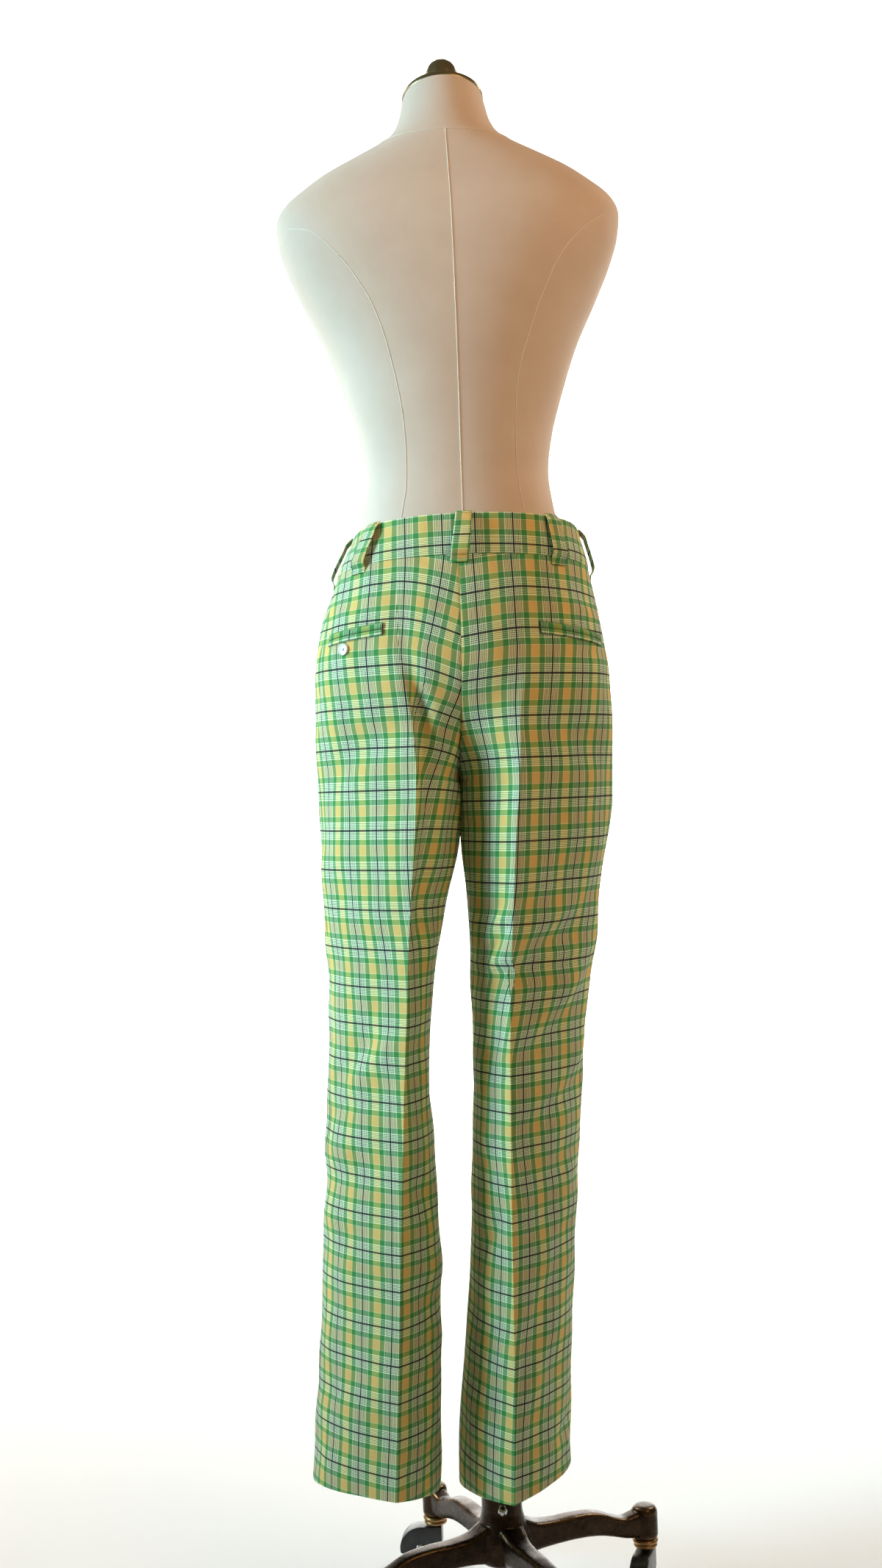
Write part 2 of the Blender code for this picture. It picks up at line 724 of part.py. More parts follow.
def pocket_welt(pocket, upper, cloth):
    side = pocket["side"]
    name = f"pocket_{SIDE_NAMES[side]}_{'upper' if upper else 'lower'}_welt"
    middle = (WELT_WIDTH / 2 + SEAM_GAP) * (1 if upper else -1)
    outer, inner = [], []
    for edge in (-0.5, 0.0, 0.5):
        outer_row, inner_row = [], []
        for i in range(WELT_COLUMNS + 1):
            share = i / WELT_COLUMNS
            width = pocket["outer_degrees"] - pocket["inner_degrees"]
            degrees = pocket["inner_degrees"] + width * share
            drop = pocket["outer_z"] - pocket["inner_z"]
            z = (pocket["inner_z"] + drop * share) * MM + middle + edge * WELT_WIDTH
            point, normal = on_hip(side, BACK, degrees, z)
            crown = WELT_CROWN if edge == 0.0 else 0.0
            inner_row.append(point + normal * WELT_LIFT)
            outer_row.append(point + normal * (WELT_LIFT + WELT_CLOTH + crown))
        outer.append(outer_row)
        inner.append(inner_row)
    return add_object(name, wall_between(name, outer, inner), cloth)


def panel_rate(skin, z):
    """Metres of cloth that one unit of across spans next to the centre edge."""
    step = 0.05
    return max((skin(step, z) - skin(0.0, z)).length / step, MM)


def fly(cloth):
    """The lap over the front opening, laid on the left front, with a J-shaped outer edge."""
    skin, outward = panel_skin(LEFT, FRONT)
    right_skin, right_outward = panel_skin(RIGHT, FRONT)
    top = WAIST_SEAM - 5 * SEAM_GAP
    outer, inner = [], []
    for i in range(FLY_ROWS + 1):
        share = i / FLY_ROWS
        z = top + (FLY_FOOT - top) * share
        width = FLY_WIDTH * math.sqrt(max(1 - max((share - 0.6) / 0.42, 0.0) ** 2, 0.02))
        reach = FLY_OVERLAP / panel_rate(right_skin, z)
        row = [(right_skin(reach, z), right_outward(reach, z))]
        for part in FLY_COLUMNS:
            reach = width * part / panel_rate(skin, z)
            row.append((skin(reach, z), outward(reach, z)))
        inner_row = [point + normal * FLY_LIFT for point, normal in row]
        outer_row = [point + normal * (FLY_LIFT + CLOTH) for point, normal in row]
        outer.append(outer_row)
        inner.append(inner_row)
    return add_object("fly", wall_between("fly", outer, inner), cloth)


def lathe_mesh(name, profile, segments):
    """A solid turned about Z. profile runs from the foot up, as (radius, z)."""
    points, faces = [], []
    for radius, z in profile:
        for k in range(segments):
            angle = 2 * math.pi * k / segments
            points.append((radius * math.cos(angle), radius * math.sin(angle), z))
    for i in range(len(profile) - 1):
        for k in range(segments):
            after = (k + 1) % segments
            low, high = i * segments, (i + 1) * segments
            faces.append((low + k, low + after, high + after, high + k))
    faces.append(tuple(reversed(range(segments))))
    faces.append(tuple(range((len(profile) - 1) * segments, len(profile) * segments)))
    return mesh_of(name, points, faces)


def ring_mesh(name, profile, segments):
    """A turned ring: the closed profile runs anticlockwise, as (radius, z)."""
    points, faces = [], []
    for radius, z in profile:
        for k in range(segments):
            angle = 2 * math.pi * k / segments
            points.append((radius * math.cos(angle), radius * math.sin(angle), z))
    for i in range(len(profile)):
        low, high = i * segments, (i + 1) % len(profile) * segments
        for k in range(segments):
            after = (k + 1) % segments
            faces.append((low + k, low + after, high + after, high + k))
    return mesh_of(name, points, faces)


def button(name, point, normal, radius, surface):
    rim = 0.35 * BUTTON_THICKNESS
    profile = (
        (radius * 0.82, 0.0),
        (radius, rim),
        (radius, BUTTON_THICKNESS - rim / 2),
        (radius * 0.86, BUTTON_THICKNESS),
        (radius * 0.66, BUTTON_THICKNESS - rim / 2),
    )
    mesh = lathe_mesh(name, profile, 16)
    made = add_object(name, mesh, surface)
    made.rotation_euler = normal.to_track_quat("Z", "Y").to_euler()
    made.location = point
    return made


def form_ring(row):
    """One ring of the dress form; near the neck it leans with the neck's slanting top."""
    ring = dict(zip(FORM_COLUMNS, row))
    z = ring["z"] * MM
    power = 2 / ring["roundness"]
    top = column(FORM, FORM_COLUMNS, "z")[-1] * MM
    lean = math.tan(NECK_TILT) * smooth_step(NECK_TILT_FROM, top, z)
    points = []
    for k in range(FORM_SEGMENTS):
        angle = 2 * math.pi * k / FORM_SEGMENTS
        across = math.copysign(abs(math.cos(angle)) ** power, math.cos(angle))
        along = math.copysign(abs(math.sin(angle)) ** power, math.sin(angle))
        depth = ring["front"] if along > 0 else ring["back"]
        x = FORM_X + ring["half"] * MM * across
        y = (ring["shift"] + depth * along) * MM
        points.append((x, y, z - lean * (y - ring["shift"] * MM)))
    return points


def torso(surface):
    rings = [form_ring(row) for row in FORM]
    points = [point for ring in rings for point in ring]
    faces = []
    for i in range(len(rings) - 1):
        for k in range(FORM_SEGMENTS):
            after = (k + 1) % FORM_SEGMENTS
            low, high = i * FORM_SEGMENTS, (i + 1) * FORM_SEGMENTS
            faces.append((low + k, low + after, high + after, high + k))
    faces.append(tuple(reversed(range(FORM_SEGMENTS))))
    faces.append(tuple(range((len(rings) - 1) * FORM_SEGMENTS, len(rings) * FORM_SEGMENTS)))
    return add_object("torso", mesh_of("torso", points, faces), surface)


def neck_fittings(cap_surface):
    """The disc on the neck and its finial, both square to the neck's slanting top."""
    top = dict(zip(FORM_COLUMNS, FORM[-1]))
    seat = Vector((FORM_X, top["shift"] * MM, top["z"] * MM + SEAM_GAP / math.cos(NECK_TILT)))
    tilt = Matrix.Rotation(-NECK_TILT, 4, "X")
    disc = (
        (CAP_RADIUS - 1.5 * MM, 0.0),
        (CAP_RADIUS, 1.5 * MM),
        (CAP_RADIUS, 6.0 * MM),
        (CAP_RADIUS - 2.5 * MM, 8.5 * MM),
        (CAP_RADIUS * 0.55, 13.0 * MM),
        (KNOB_RADIUS * 0.95, 14.5 * MM),
    )
    cap = add_object("neck_cap", lathe_mesh("neck_cap", disc, 32), cap_surface)
    cap.matrix_world = Matrix.Translation(seat) @ tilt
    foot = 14.5 * MM + SEAM_GAP
    rise = (KNOB_TOP - seat.z) / math.cos(NECK_TILT) - foot - 4 * MM
    finial = (
        (KNOB_RADIUS * 0.9, foot),
        (KNOB_RADIUS, foot + 0.1 * rise),
        (KNOB_RADIUS, foot + 0.5 * rise),
        (KNOB_RADIUS * 0.9, foot + 0.74 * rise),
        (KNOB_RADIUS * 0.7, foot + 0.92 * rise),
        (KNOB_RADIUS * 0.5, foot + rise),
    )
    knob = add_object("neck_knob", lathe_mesh("neck_knob", finial, 16), cap_surface)
    knob.matrix_world = Matrix.Translation(seat) @ tilt


def arm_mesh(azimuth):
    """One arm of the casting: an eight-sided section swept outwards."""
    turn = math.radians(azimuth)
    along = Vector((math.cos(turn), math.sin(turn), 0))
    aside = Vector((-math.sin(turn), math.cos(turn), 0))
    corner = 0.28
    section = (
        (-1, -1 + corner * 2), (-1 + corner, -1), (1 - corner, -1), (1, -1 + corner * 2),
        (1, 1 - corner * 1.4), (1 - corner, 1), (-1 + corner, 1), (-1, 1 - corner * 1.4),
    )
    points, faces = [], []
    for row in ARM:
        arm = {name: value * MM for name, value in zip(ARM_COLUMNS, row)}
        middle, rise = (arm["top"] + arm["foot"]) / 2, (arm["top"] - arm["foot"]) / 2
        for across, up in section:
            place = along * arm["reach"] + aside * across * arm["width"] / 2
            points.append((place.x, place.y, middle + up * rise))
    count = len(section)
    for i in range(len(ARM) - 1):
        for k in range(count):
            after = (k + 1) % count
            low, high = i * count, (i + 1) * count
            faces.append((low + k, low + after, high + after, high + k))
    faces.append(tuple(reversed(range(count))))
    faces.append(tuple(range((len(ARM) - 1) * count, len(ARM) * count)))
    mesh = mesh_of("arm", points, faces)
    shape = bmesh.new()
    shape.from_mesh(mesh)
    bmesh.ops.recalc_face_normals(shape, faces=shape.faces)
    shape.to_mesh(mesh)
    shape.free()
    return mesh


def helper(name, mesh):
    """A guide solid that a Boolean reads, kept out of the model."""
    made = bpy.data.objects.new(name, mesh)
    bpy.context.scene.collection.objects.link(made)
    made.hide_render = True
    made.display_type = "WIRE"
    return made


def boss_place(azimuth):
    turn = math.radians(azimuth)
    return Vector((BOSS_AT * math.cos(turn), BOSS_AT * math.sin(turn), 0))


def base(surface):
    hub = (
        (20 * MM, 72 * MM),
        (27 * MM, 75 * MM),
        (31 * MM, 84 * MM),
        (30 * MM, 102 * MM),
        (26 * MM, 116 * MM),
        (HUB_RADIUS, 130 * MM),
        (HUB_RADIUS, HUB_TOP - 3 * MM),
        (HUB_RADIUS - 3 * MM, HUB_TOP),
    )
    made = add_object("base", lathe_mesh("base", hub, 24), surface)
    boss = (
        (BOSS_RADIUS - 1.5 * MM, BOSS_FOOT),
        (BOSS_RADIUS, BOSS_FOOT + 3 * MM),
        (BOSS_RADIUS, BOSS_TOP - 6 * MM),
        (BOSS_RADIUS - 3 * MM, BOSS_TOP - 1 * MM),
        (BOSS_RADIUS - 8 * MM, BOSS_TOP),
    )
    for azimuth in ARM_AZIMUTHS:
        arm = helper(f"arm_guide_{azimuth:.0f}", arm_mesh(azimuth))
        post = helper(f"boss_guide_{azimuth:.0f}", lathe_mesh("boss", boss, ROUND_SMALL))
        post.location = boss_place(azimuth)
        for part in (arm, post):
            join = made.modifiers.new(part.name, "BOOLEAN")
            join.operation = "UNION"
            join.object = part


def caster(number, azimuth, heading, gold, black):
    """One caster: brass rings under the boss, a hood that swivels, and its wheel."""
    post = boss_place(azimuth)
    beads = (
        (5.2 * MM, RING_FOOT),
        (13.8 * MM, RING_FOOT + 1.0 * MM),
        (12.6 * MM, RING_FOOT + 4.6 * MM),
        (15.0 * MM, RING_FOOT + 7.6 * MM),
        (5.2 * MM, BOSS_FOOT - SEAM_GAP),
    )
    rings = add_object(f"caster_ring_{number}", ring_mesh("rings", beads, ROUND_SMALL), gold)
    rings.location = post

    swivel = bpy.data.objects.new(f"swivel_{number}", None)
    bpy.context.scene.collection.objects.link(swivel)
    swivel.location = post
    swivel.rotation_euler = (0, 0, math.radians(heading))

    hood = add_object(f"caster_hood_{number}", hood_mesh(), black)
    hood.parent = swivel
    slot = helper(f"slot_guide_{number}", slot_mesh())
    slot.parent = swivel
    cut = hood.modifiers.new("slot", "BOOLEAN")
    cut.operation = "DIFFERENCE"
    cut.object = slot
    stem = helper(f"stem_guide_{number}", lathe_mesh("stem", stem_profile(), ROUND_SMALL))
    stem.parent = swivel
    join = hood.modifiers.new("stem", "BOOLEAN")
    join.operation = "UNION"
    join.object = stem

    wheel = add_object(f"caster_wheel_{number}", wheel_mesh(), black)
    wheel.parent = swivel
    wheel.location = (WHEEL_TRAIL, 0, WHEEL_RADIUS * math.cos(math.pi / WHEEL_SEGMENTS))
    wheel.rotation_euler = (math.radians(90), 0, 0)


def stem_profile():
    return (
        (6.5 * MM, RING_FOOT - 9 * MM),
        (6.5 * MM, RING_FOOT - 1.2 * MM),
        (4.8 * MM, RING_FOOT - 0.5 * MM),
        (4.8 * MM, BOSS_FOOT - SEAM_GAP),
    )


def side_plate(profile, width, name):
    """A flat outline in the XZ plane, made width thick along Y."""
    points = [(x, y, z) for y in (-width / 2, width / 2) for x, z in profile]
    count = len(profile)
    faces = [tuple(range(count)), tuple(reversed(range(count, 2 * count)))]
    for k in range(count):
        after = (k + 1) % count
        faces.append((k, count + k, count + after, after))
    mesh = mesh_of(name, points, faces)
    shape = bmesh.new()
    shape.from_mesh(mesh)
    bmesh.ops.recalc_face_normals(shape, faces=shape.faces)
    shape.to_mesh(mesh)
    shape.free()
    return mesh


def hood_mesh():
    """The cheeks and roof over the wheel, reaching to the swivel stem."""
    outline = [(-HOOD_FRONT, WHEEL_RADIUS + 4 * MM), (-HOOD_FRONT, RING_FOOT - 1.5 * MM)]
    for i in range(13):
        angle = math.radians(96 - 108 * i / 12)
        x = WHEEL_TRAIL + HOOD_RADIUS * math.cos(angle)
        outline.append((x, WHEEL_RADIUS + HOOD_RADIUS * math.sin(angle)))
    outline.append((WHEEL_TRAIL + 7 * MM, WHEEL_RADIUS - 10 * MM))
    outline.append((WHEEL_TRAIL - 7 * MM, WHEEL_RADIUS - 10 * MM))
    return side_plate(outline, HOOD_WIDTH, "hood")


def slot_mesh():
    """The room for the wheel, open at the bottom."""
    radius = WHEEL_RADIUS + HOOD_CLEARANCE
    outline = [(WHEEL_TRAIL + radius, -5 * MM)]
    for i in range(13):
        angle = math.pi * i / 12
        x = WHEEL_TRAIL + radius * math.cos(angle)
        outline.append((x, WHEEL_RADIUS + radius * math.sin(angle)))
    outline.append((WHEEL_TRAIL - radius, -5 * MM))
    return side_plate(outline, HOOD_SLOT, "slot")


def wheel_mesh():
    """The wheel with its tread, a raised boss on each face that runs beside the cheeks."""
    half = WHEEL_WIDTH / 2
    boss = HOOD_SLOT / 2 - SEAM_GAP
    profile = (
        (6 * MM, -boss),
        (WHEEL_RADIUS - 3 * MM, -half + 0.8 * MM),
        (WHEEL_RADIUS, -half + 3.5 * MM),
        (WHEEL_RADIUS, half - 3.5 * MM),
        (WHEEL_RADIUS - 3 * MM, half - 0.8 * MM),
        (6 * MM, boss),
    )
    mesh = lathe_mesh("wheel", profile, WHEEL_SEGMENTS)
    turn = Matrix.Rotation(math.pi / WHEEL_SEGMENTS, 4, "Z")
    mesh.transform(turn)
    return mesh


def stand(bronze, chrome):
    bore = POLE_RADIUS + SEAM_GAP
    foot = HUB_TOP + SEAM_GAP
    tube = (
        (bore, foot),
        (TUBE_RADIUS, foot),
        (TUBE_RADIUS, TUBE_TOP),
        (COLLAR_RADIUS, TUBE_TOP + 0.5 * MM),
        (COLLAR_RADIUS, TUBE_TOP + COLLAR_HEIGHT),
        (bore, TUBE_TOP + COLLAR_HEIGHT),
    )
    add_object("outer_tube", ring_mesh("outer_tube", tube, 24), bronze)
    trunk_foot = column(FORM, FORM_COLUMNS, "z")[0] * MM
    pole = ((POLE_RADIUS, POLE_FOOT), (POLE_RADIUS, trunk_foot - SEAM_GAP))
    add_object("pole", lathe_mesh("pole", pole, 24), chrome)
    face = HUB_RADIUS * math.cos(math.pi / 24) + SEAM_GAP
    screw = (
        (3.4 * MM, face),
        (3.4 * MM, face + 5 * MM),
        (2.4 * MM, face + 6 * MM),
        (2.4 * MM, face + 8 * MM),
        (5.0 * MM, face + 10.5 * MM),
        (5.0 * MM, face + 13.5 * MM),
        (2.6 * MM, face + 16 * MM),
    )
    clamp = add_object("clamp_screw", lathe_mesh("clamp_screw", screw, 16), chrome)
    clamp.rotation_euler = (math.radians(90), 0, 0)
    clamp.location = (0, 0, SCREW_Z)


def trousers():
    plaid = material("plaid_cloth", PLAID_GREEN, 0.85)
    band = material("band_cloth", BAND_GREEN, 0.85)
    pearl = material("pearl", PEARL, 0.25)
    for side in (LEFT, RIGHT):
        for half in (BACK, FRONT):
            trouser_panel(side, half, plaid)
        waistband(side, band)
    for number, (side, degrees) in enumerate(LOOP_PLACES, 1):
        belt_loop(number, side, degrees, band)
    for row in POCKETS:
        pocket = dict(zip(POCKET_COLUMNS, row))
        pocket_welt(pocket, True, band)
        pocket_welt(pocket, False, band)
    fly(plaid)
    point, normal = on_hip(LEFT, BACK, *POCKET_BUTTON_PLACE)
    button("pocket_button", point + normal * BUTTON_LIFT, normal, POCKET_BUTTON_RADIUS, pearl)
    middle = (WAIST_SEAM + WAIST_TOP) / 2
    point, out = band_point(RIGHT, BAND_BUTTON_TURN, middle)
    up = band_point(RIGHT, BAND_BUTTON_TURN, middle + 2 * MM)[0] - point
    normal = (out - up * (out.dot(up) / up.length_squared)).normalized()
    lift = BAND_PROUD + BAND_CLOTH + 3 * SEAM_GAP
    button("waistband_button", point + normal * lift, normal, BAND_BUTTON_RADIUS, pearl)


def dress_form_stand():
    bronze = material("antique_bronze", BRONZE, 0.38, 0.9)
    chrome = material("chrome", CHROME, 0.15, 1.0)
    gold = material("rubbed_gold", GOLD, 0.3, 1.0)
    black = material("black_plastic", BLACK, 0.3)
    torso(material("cream_cover", CREAM, 0.8))
    neck_fittings(material("cap_bronze", CAP_BRONZE, 0.4, 0.8))
    stand(bronze, chrome)
    base(bronze)
    for number, azimuth in enumerate(ARM_AZIMUTHS, 1):
        caster(number, azimuth, CASTER_HEADINGS[number - 1], gold, black)


def move_to_origin():
    """Every piece hangs from one empty, which sets the whole model over the origin."""
    tops = [thing for thing in bpy.data.objects if thing.parent is None]
    middle = bpy.data.objects.new("middle", None)
    bpy.context.scene.collection.objects.link(middle)
    for thing in tops:
        thing.parent = middle
    middle.location = (POLE_X, 0, 0)
    bpy.context.view_layer.update()


clear_scene()
trousers()
dress_form_stand()
bpy.context.view_layer.update()
move_to_origin()
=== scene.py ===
"""Looks of the tailored trousers and of the dress form and wheeled stand that they hang on.

The cloth is rebuilt here as fine shells on the same sections as the solids, with its smaller folds,
its seams and its woven plaid. The form, the casting and the casters get their smooth shapes and
finishes. Metres, +Z up, -Y is the wearer's back, which the camera sees. The garment and the stand
are worked out round the pole, and every mesh is moved sideways to where the pole stands.
"""

import math

import bmesh
import bpy
import numpy as np
from mathutils import Matrix, Vector


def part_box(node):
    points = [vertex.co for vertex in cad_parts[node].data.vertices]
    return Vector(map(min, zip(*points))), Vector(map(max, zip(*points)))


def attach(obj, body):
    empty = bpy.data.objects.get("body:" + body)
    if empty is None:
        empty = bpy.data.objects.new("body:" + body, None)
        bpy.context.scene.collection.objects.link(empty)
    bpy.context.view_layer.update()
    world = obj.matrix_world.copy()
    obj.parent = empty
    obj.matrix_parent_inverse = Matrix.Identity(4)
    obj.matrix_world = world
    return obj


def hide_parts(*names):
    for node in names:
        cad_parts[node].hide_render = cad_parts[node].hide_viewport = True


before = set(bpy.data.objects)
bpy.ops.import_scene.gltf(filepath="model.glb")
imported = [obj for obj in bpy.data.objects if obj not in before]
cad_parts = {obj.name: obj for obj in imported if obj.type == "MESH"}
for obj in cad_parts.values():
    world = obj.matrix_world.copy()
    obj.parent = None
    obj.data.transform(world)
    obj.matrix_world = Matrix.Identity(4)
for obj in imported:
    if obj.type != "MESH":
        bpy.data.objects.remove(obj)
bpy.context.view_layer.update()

MM = 0.001
SEAM_GAP = 0.3 * MM
POLE_X = sum(corner.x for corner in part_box("pole")) / 2
LEFT, RIGHT = -1, 1
BACK, FRONT = -1, 1
SIDE_NAMES = {LEFT: "left", RIGHT: "right"}
HALF_NAMES = {BACK: "back", FRONT: "front"}

# Driving heights of the garment
WAIST_TOP = 1215.5 * MM
WAIST_SEAM = 1169.5 * MM
SEAT_TOP = 1042 * MM
CROTCH = 942 * MM
LEG_FORM_TOP = 1078 * MM
LEG_FORM_WHOLE = 926 * MM
WAIST_TILT = 0.124
MEETING_FADE = 55 * MM
LEG_PARTING = 0.02
VALLEY_RISE = 25 * MM

# Cloth
CLOTH = 1.3 * MM
BAND_CLOTH = 2.4 * MM
BAND_PROUD = 1.0 * MM
BODY_ROUNDNESS = 2.15
CROTCH_TURN = 0.30
CREASE_AT = 0.5

# Hips and waist, one ellipse-like ring a row
BODY_COLUMNS = ("z", "centre", "half", "back", "front")
BODY = (
    (926.0, -9.0, 166.0, 116.0, 106.0),
    (1011.0, -9.0, 166.0, 118.0, 108.0),
    (1072.0, -9.1, 162.4, 117.0, 108.0),
    (1113.0, -8.8, 155.4, 113.0, 106.0),
    (1154.0, -5.6, 143.5, 107.0, 102.0),
    (1174.0, -3.6, 138.5, 103.0, 99.0),
    (1215.0, 1.0, 124.0, 95.0, 93.0),
    (1236.0, 1.5, 122.0, 93.0, 91.0),
)
# The centre plane, where the two halves meet
CENTRE_COLUMNS = ("z", "x")
CENTRE = ((942.0, -17.0), (1011.0, -13.0), (1072.0, -10.5), (1130.0, -9.5), (1236.0, -9.0))

# Each leg: its outer and inner edge seen from behind, its back crease, and half its depth
LEG_COLUMNS = ("z", "outer", "inner", "crease", "depth")
LEGS = {
    LEFT: (
        (150.0, -212.5, -68.0, -115.0, 100.0),
        (228.0, -205.0, -64.0, -110.5, 99.0),
        (310.0, -197.5, -60.5, -106.0, 98.5),
        (392.0, -191.0, -58.0, -101.5, 98.0),
        (474.0, -186.0, -57.5, -97.0, 98.0),
        (556.0, -181.0, -60.0, -92.0, 98.0),
        (638.0, -176.0, -61.5, -87.0, 99.0),
        (720.0, -173.0, -53.5, -81.0, 102.0),
        (761.0, -173.5, -46.0, -78.5, 105.0),
        (802.0, -174.5, -38.0, -75.0, 108.0),
        (843.0, -176.0, -27.0, -71.0, 110.0),
        (884.0, -174.6, -20.5, -67.0, 112.0),
        (942.0, -176.0, -17.2, -63.0, 113.0),
        (1011.0, -175.5, -14.0, -66.0, 114.0),
        (1080.0, -171.0, -11.0, -77.0, 112.0),
    ),
    RIGHT: (
        (150.0, 80.0, -47.0, 10.5, 100.0),
        (228.0, 80.0, -44.0, 13.5, 99.0),
        (310.0, 85.0, -35.0, 17.0, 98.5),
        (392.0, 91.0, -26.5, 19.0, 98.0),
        (474.0, 97.5, -21.0, 20.5, 98.0),
        (556.0, 105.0, -17.0, 22.5, 98.0),
        (638.0, 112.0, -13.0, 25.0, 99.0),
        (720.0, 123.0, -12.8, 28.5, 102.0),
        (761.0, 131.0, -12.8, 31.0, 105.0),
        (802.0, 135.5, -13.0, 34.0, 108.0),
        (843.0, 141.0, -15.0, 37.0, 110.0),
        (884.0, 151.0, -15.8, 40.0, 112.0),
        (942.0, 155.5, -16.8, 46.0, 113.0),
        (1011.0, 157.0, -14.0, 50.0, 114.0),
        (1080.0, 153.5, -9.0, 58.0, 112.0),
    ),
}
# Where the side seam lies, in degrees round the hips from the centre back
SIDE_SEAM_DEGREES = {LEFT: 72.0, RIGHT: 86.0}
# Height of the hem at the inseam, at the crease and at the side seam
HEM = {
    (LEFT, BACK): (166.0, 181.0, 171.0),
    (LEFT, FRONT): (166.0, 178.0, 171.0),
    (RIGHT, BACK): (168.0, 173.0, 188.0),
    (RIGHT, FRONT): (168.0, 178.0, 188.0),
}

# Folds. round: place round the leg, 0 inseam, 0.5 back crease, 1 side seam, 1.5 front crease.
# slope: degrees that the fold rises towards the side seam. Sizes in millimetres.
FOLD_COLUMNS = ("side", "z", "round", "slope", "length", "width", "height")
FOLDS = (
    (RIGHT, 752.0, 0.60, 38.0, 70.0, 17.0, -6.0),
    (RIGHT, 775.0, 0.55, 34.0, 60.0, 15.0, 4.5),
    (RIGHT, 705.0, 0.72, 40.0, 75.0, 18.0, 4.0),
    (RIGHT, 672.0, 0.70, 36.0, 70.0, 17.0, -4.0),
    (RIGHT, 620.0, 0.78, 30.0, 70.0, 18.0, 3.5),
    (RIGHT, 590.0, 0.74, 28.0, 65.0, 16.0, -3.0),
    (LEFT, 655.0, 0.72, -42.0, 45.0, 14.0, -3.5),
    (LEFT, 640.0, 0.66, -42.0, 45.0, 14.0, 3.0),
    (LEFT, 545.0, 0.86, -10.0, 60.0, 18.0, 3.0),
    (LEFT, 510.0, 0.88, -12.0, 60.0, 18.0, -3.0),
    (LEFT, 420.0, 0.25, 20.0, 60.0, 20.0, 3.5),
    (LEFT, 380.0, 0.25, 20.0, 60.0, 20.0, -3.5),
    (LEFT, 985.0, 0.66, -35.0, 80.0, 20.0, -4.0),
    (RIGHT, 985.0, 0.68, -35.0, 70.0, 20.0, -3.0),
    (RIGHT, 690.0, 1.45, 25.0, 70.0, 18.0, -4.0),
    (LEFT, 690.0, 1.45, -25.0, 70.0, 18.0, -4.0),
)
# Smaller folds and dents, which only show close by
FINE_FOLDS = (
    (LEFT, 700.0, 0.655, -72.0, 17.0, 4.0, -2.4),
    (LEFT, 683.0, 0.735, -62.0, 11.0, 4.0, -1.6),
    (LEFT, 1067.0, 0.87, 88.0, 5.5, 2.4, -1.4),
    (LEFT, 985.0, 0.447, 86.0, 80.0, 9.0, -11.0),
    (LEFT, 850.0, 0.44, 88.0, 75.0, 10.0, -6.0),
    (LEFT, 500.0, 0.34, 35.0, 38.0, 11.0, -2.0),
    (LEFT, 455.0, 0.30, 30.0, 40.0, 12.0, 2.0),
    (LEFT, 330.0, 0.28, 25.0, 40.0, 12.0, -2.0),
    (LEFT, 590.0, 0.80, -15.0, 45.0, 12.0, -1.6),
    (LEFT, 470.0, 0.84, -8.0, 45.0, 13.0, 2.0),
    (LEFT, 280.0, 0.86, -6.0, 45.0, 14.0, -1.6),
    (RIGHT, 790.0, 0.43, 48.0, 26.0, 7.0, 3.6),
    (RIGHT, 758.0, 0.38, 46.0, 34.0, 9.0, -4.2),
    (RIGHT, 735.0, 0.46, 12.0, 34.0, 8.0, -2.4),
    (RIGHT, 640.0, 0.36, 62.0, 40.0, 9.0, -3.0),
    (RIGHT, 560.0, 0.34, 68.0, 46.0, 10.0, 2.0),
    (RIGHT, 455.0, 0.38, 52.0, 40.0, 10.0, -2.2),
    (RIGHT, 380.0, 0.66, 60.0, 50.0, 12.0, -1.8),
    (RIGHT, 300.0, 0.60, 66.0, 45.0, 10.0, 1.6),
    (RIGHT, 232.0, 0.84, 24.0, 24.0, 6.0, -2.2),
    (RIGHT, 214.0, 0.88, 30.0, 22.0, 6.0, 1.8),
    (RIGHT, 198.0, 0.80, 18.0, 20.0, 5.0, -1.4),
    (RIGHT, 530.0, 0.84, 20.0, 45.0, 13.0, -2.0),
    (RIGHT, 470.0, 0.86, 16.0, 45.0, 14.0, 1.8),
    (RIGHT, 1075.0, 0.82, 12.0, 30.0, 7.0, -1.8),
    (RIGHT, 1116.0, 0.80, -16.0, 30.0, 8.0, 1.6),
    (LEFT, 1118.0, 0.78, 18.0, 26.0, 8.0, 1.4),
    (LEFT, 898.0, 0.13, 88.0, 40.0, 24.0, 2.6),
    (RIGHT, 898.0, 0.13, 88.0, 40.0, 24.0, 2.6),
)
ROUND_LENGTH = 250 * MM
# Slow unevenness of hanging cloth: waves a metre round and up the leg, phase, height
WAVES = (
    (17.0, 9.0, 0.4, 0.45),
    (26.0, -14.0, 1.9, 0.35),
    (9.0, 21.0, 3.1, 0.40),
    (41.0, 12.0, 5.0, 0.16),
)
SEAM_DIP = 0.45 * MM
SEAM_DIP_WIDTH = 1.3 * MM

# Fine grid of the panels: rows above the seat, round the crotch, down the leg; columns each side
ROWS_ABOVE_SEAT = 42
ROWS_ROUND_CROTCH = 44
ROWS_DOWN_LEG = 170
COLUMNS_EACH_SIDE = 32
CLUSTERING = 0.72
OUTER_FAN = 26 * MM

# Waistband, loops, pockets, buttons
BAND_COLUMNS = 160
BAND_ROWS = 14
BAND_LAP = 28 * MM
BAND_EDGE = 2.2 * MM
LOOP_WIDTH = 19 * MM
LOOP_CLOTH = 1.6 * MM
LOOP_STAND_OFF = 6.2 * MM
LOOP_SEWN_LIFT = 0.5 * MM
LOOP_COLUMNS = 10
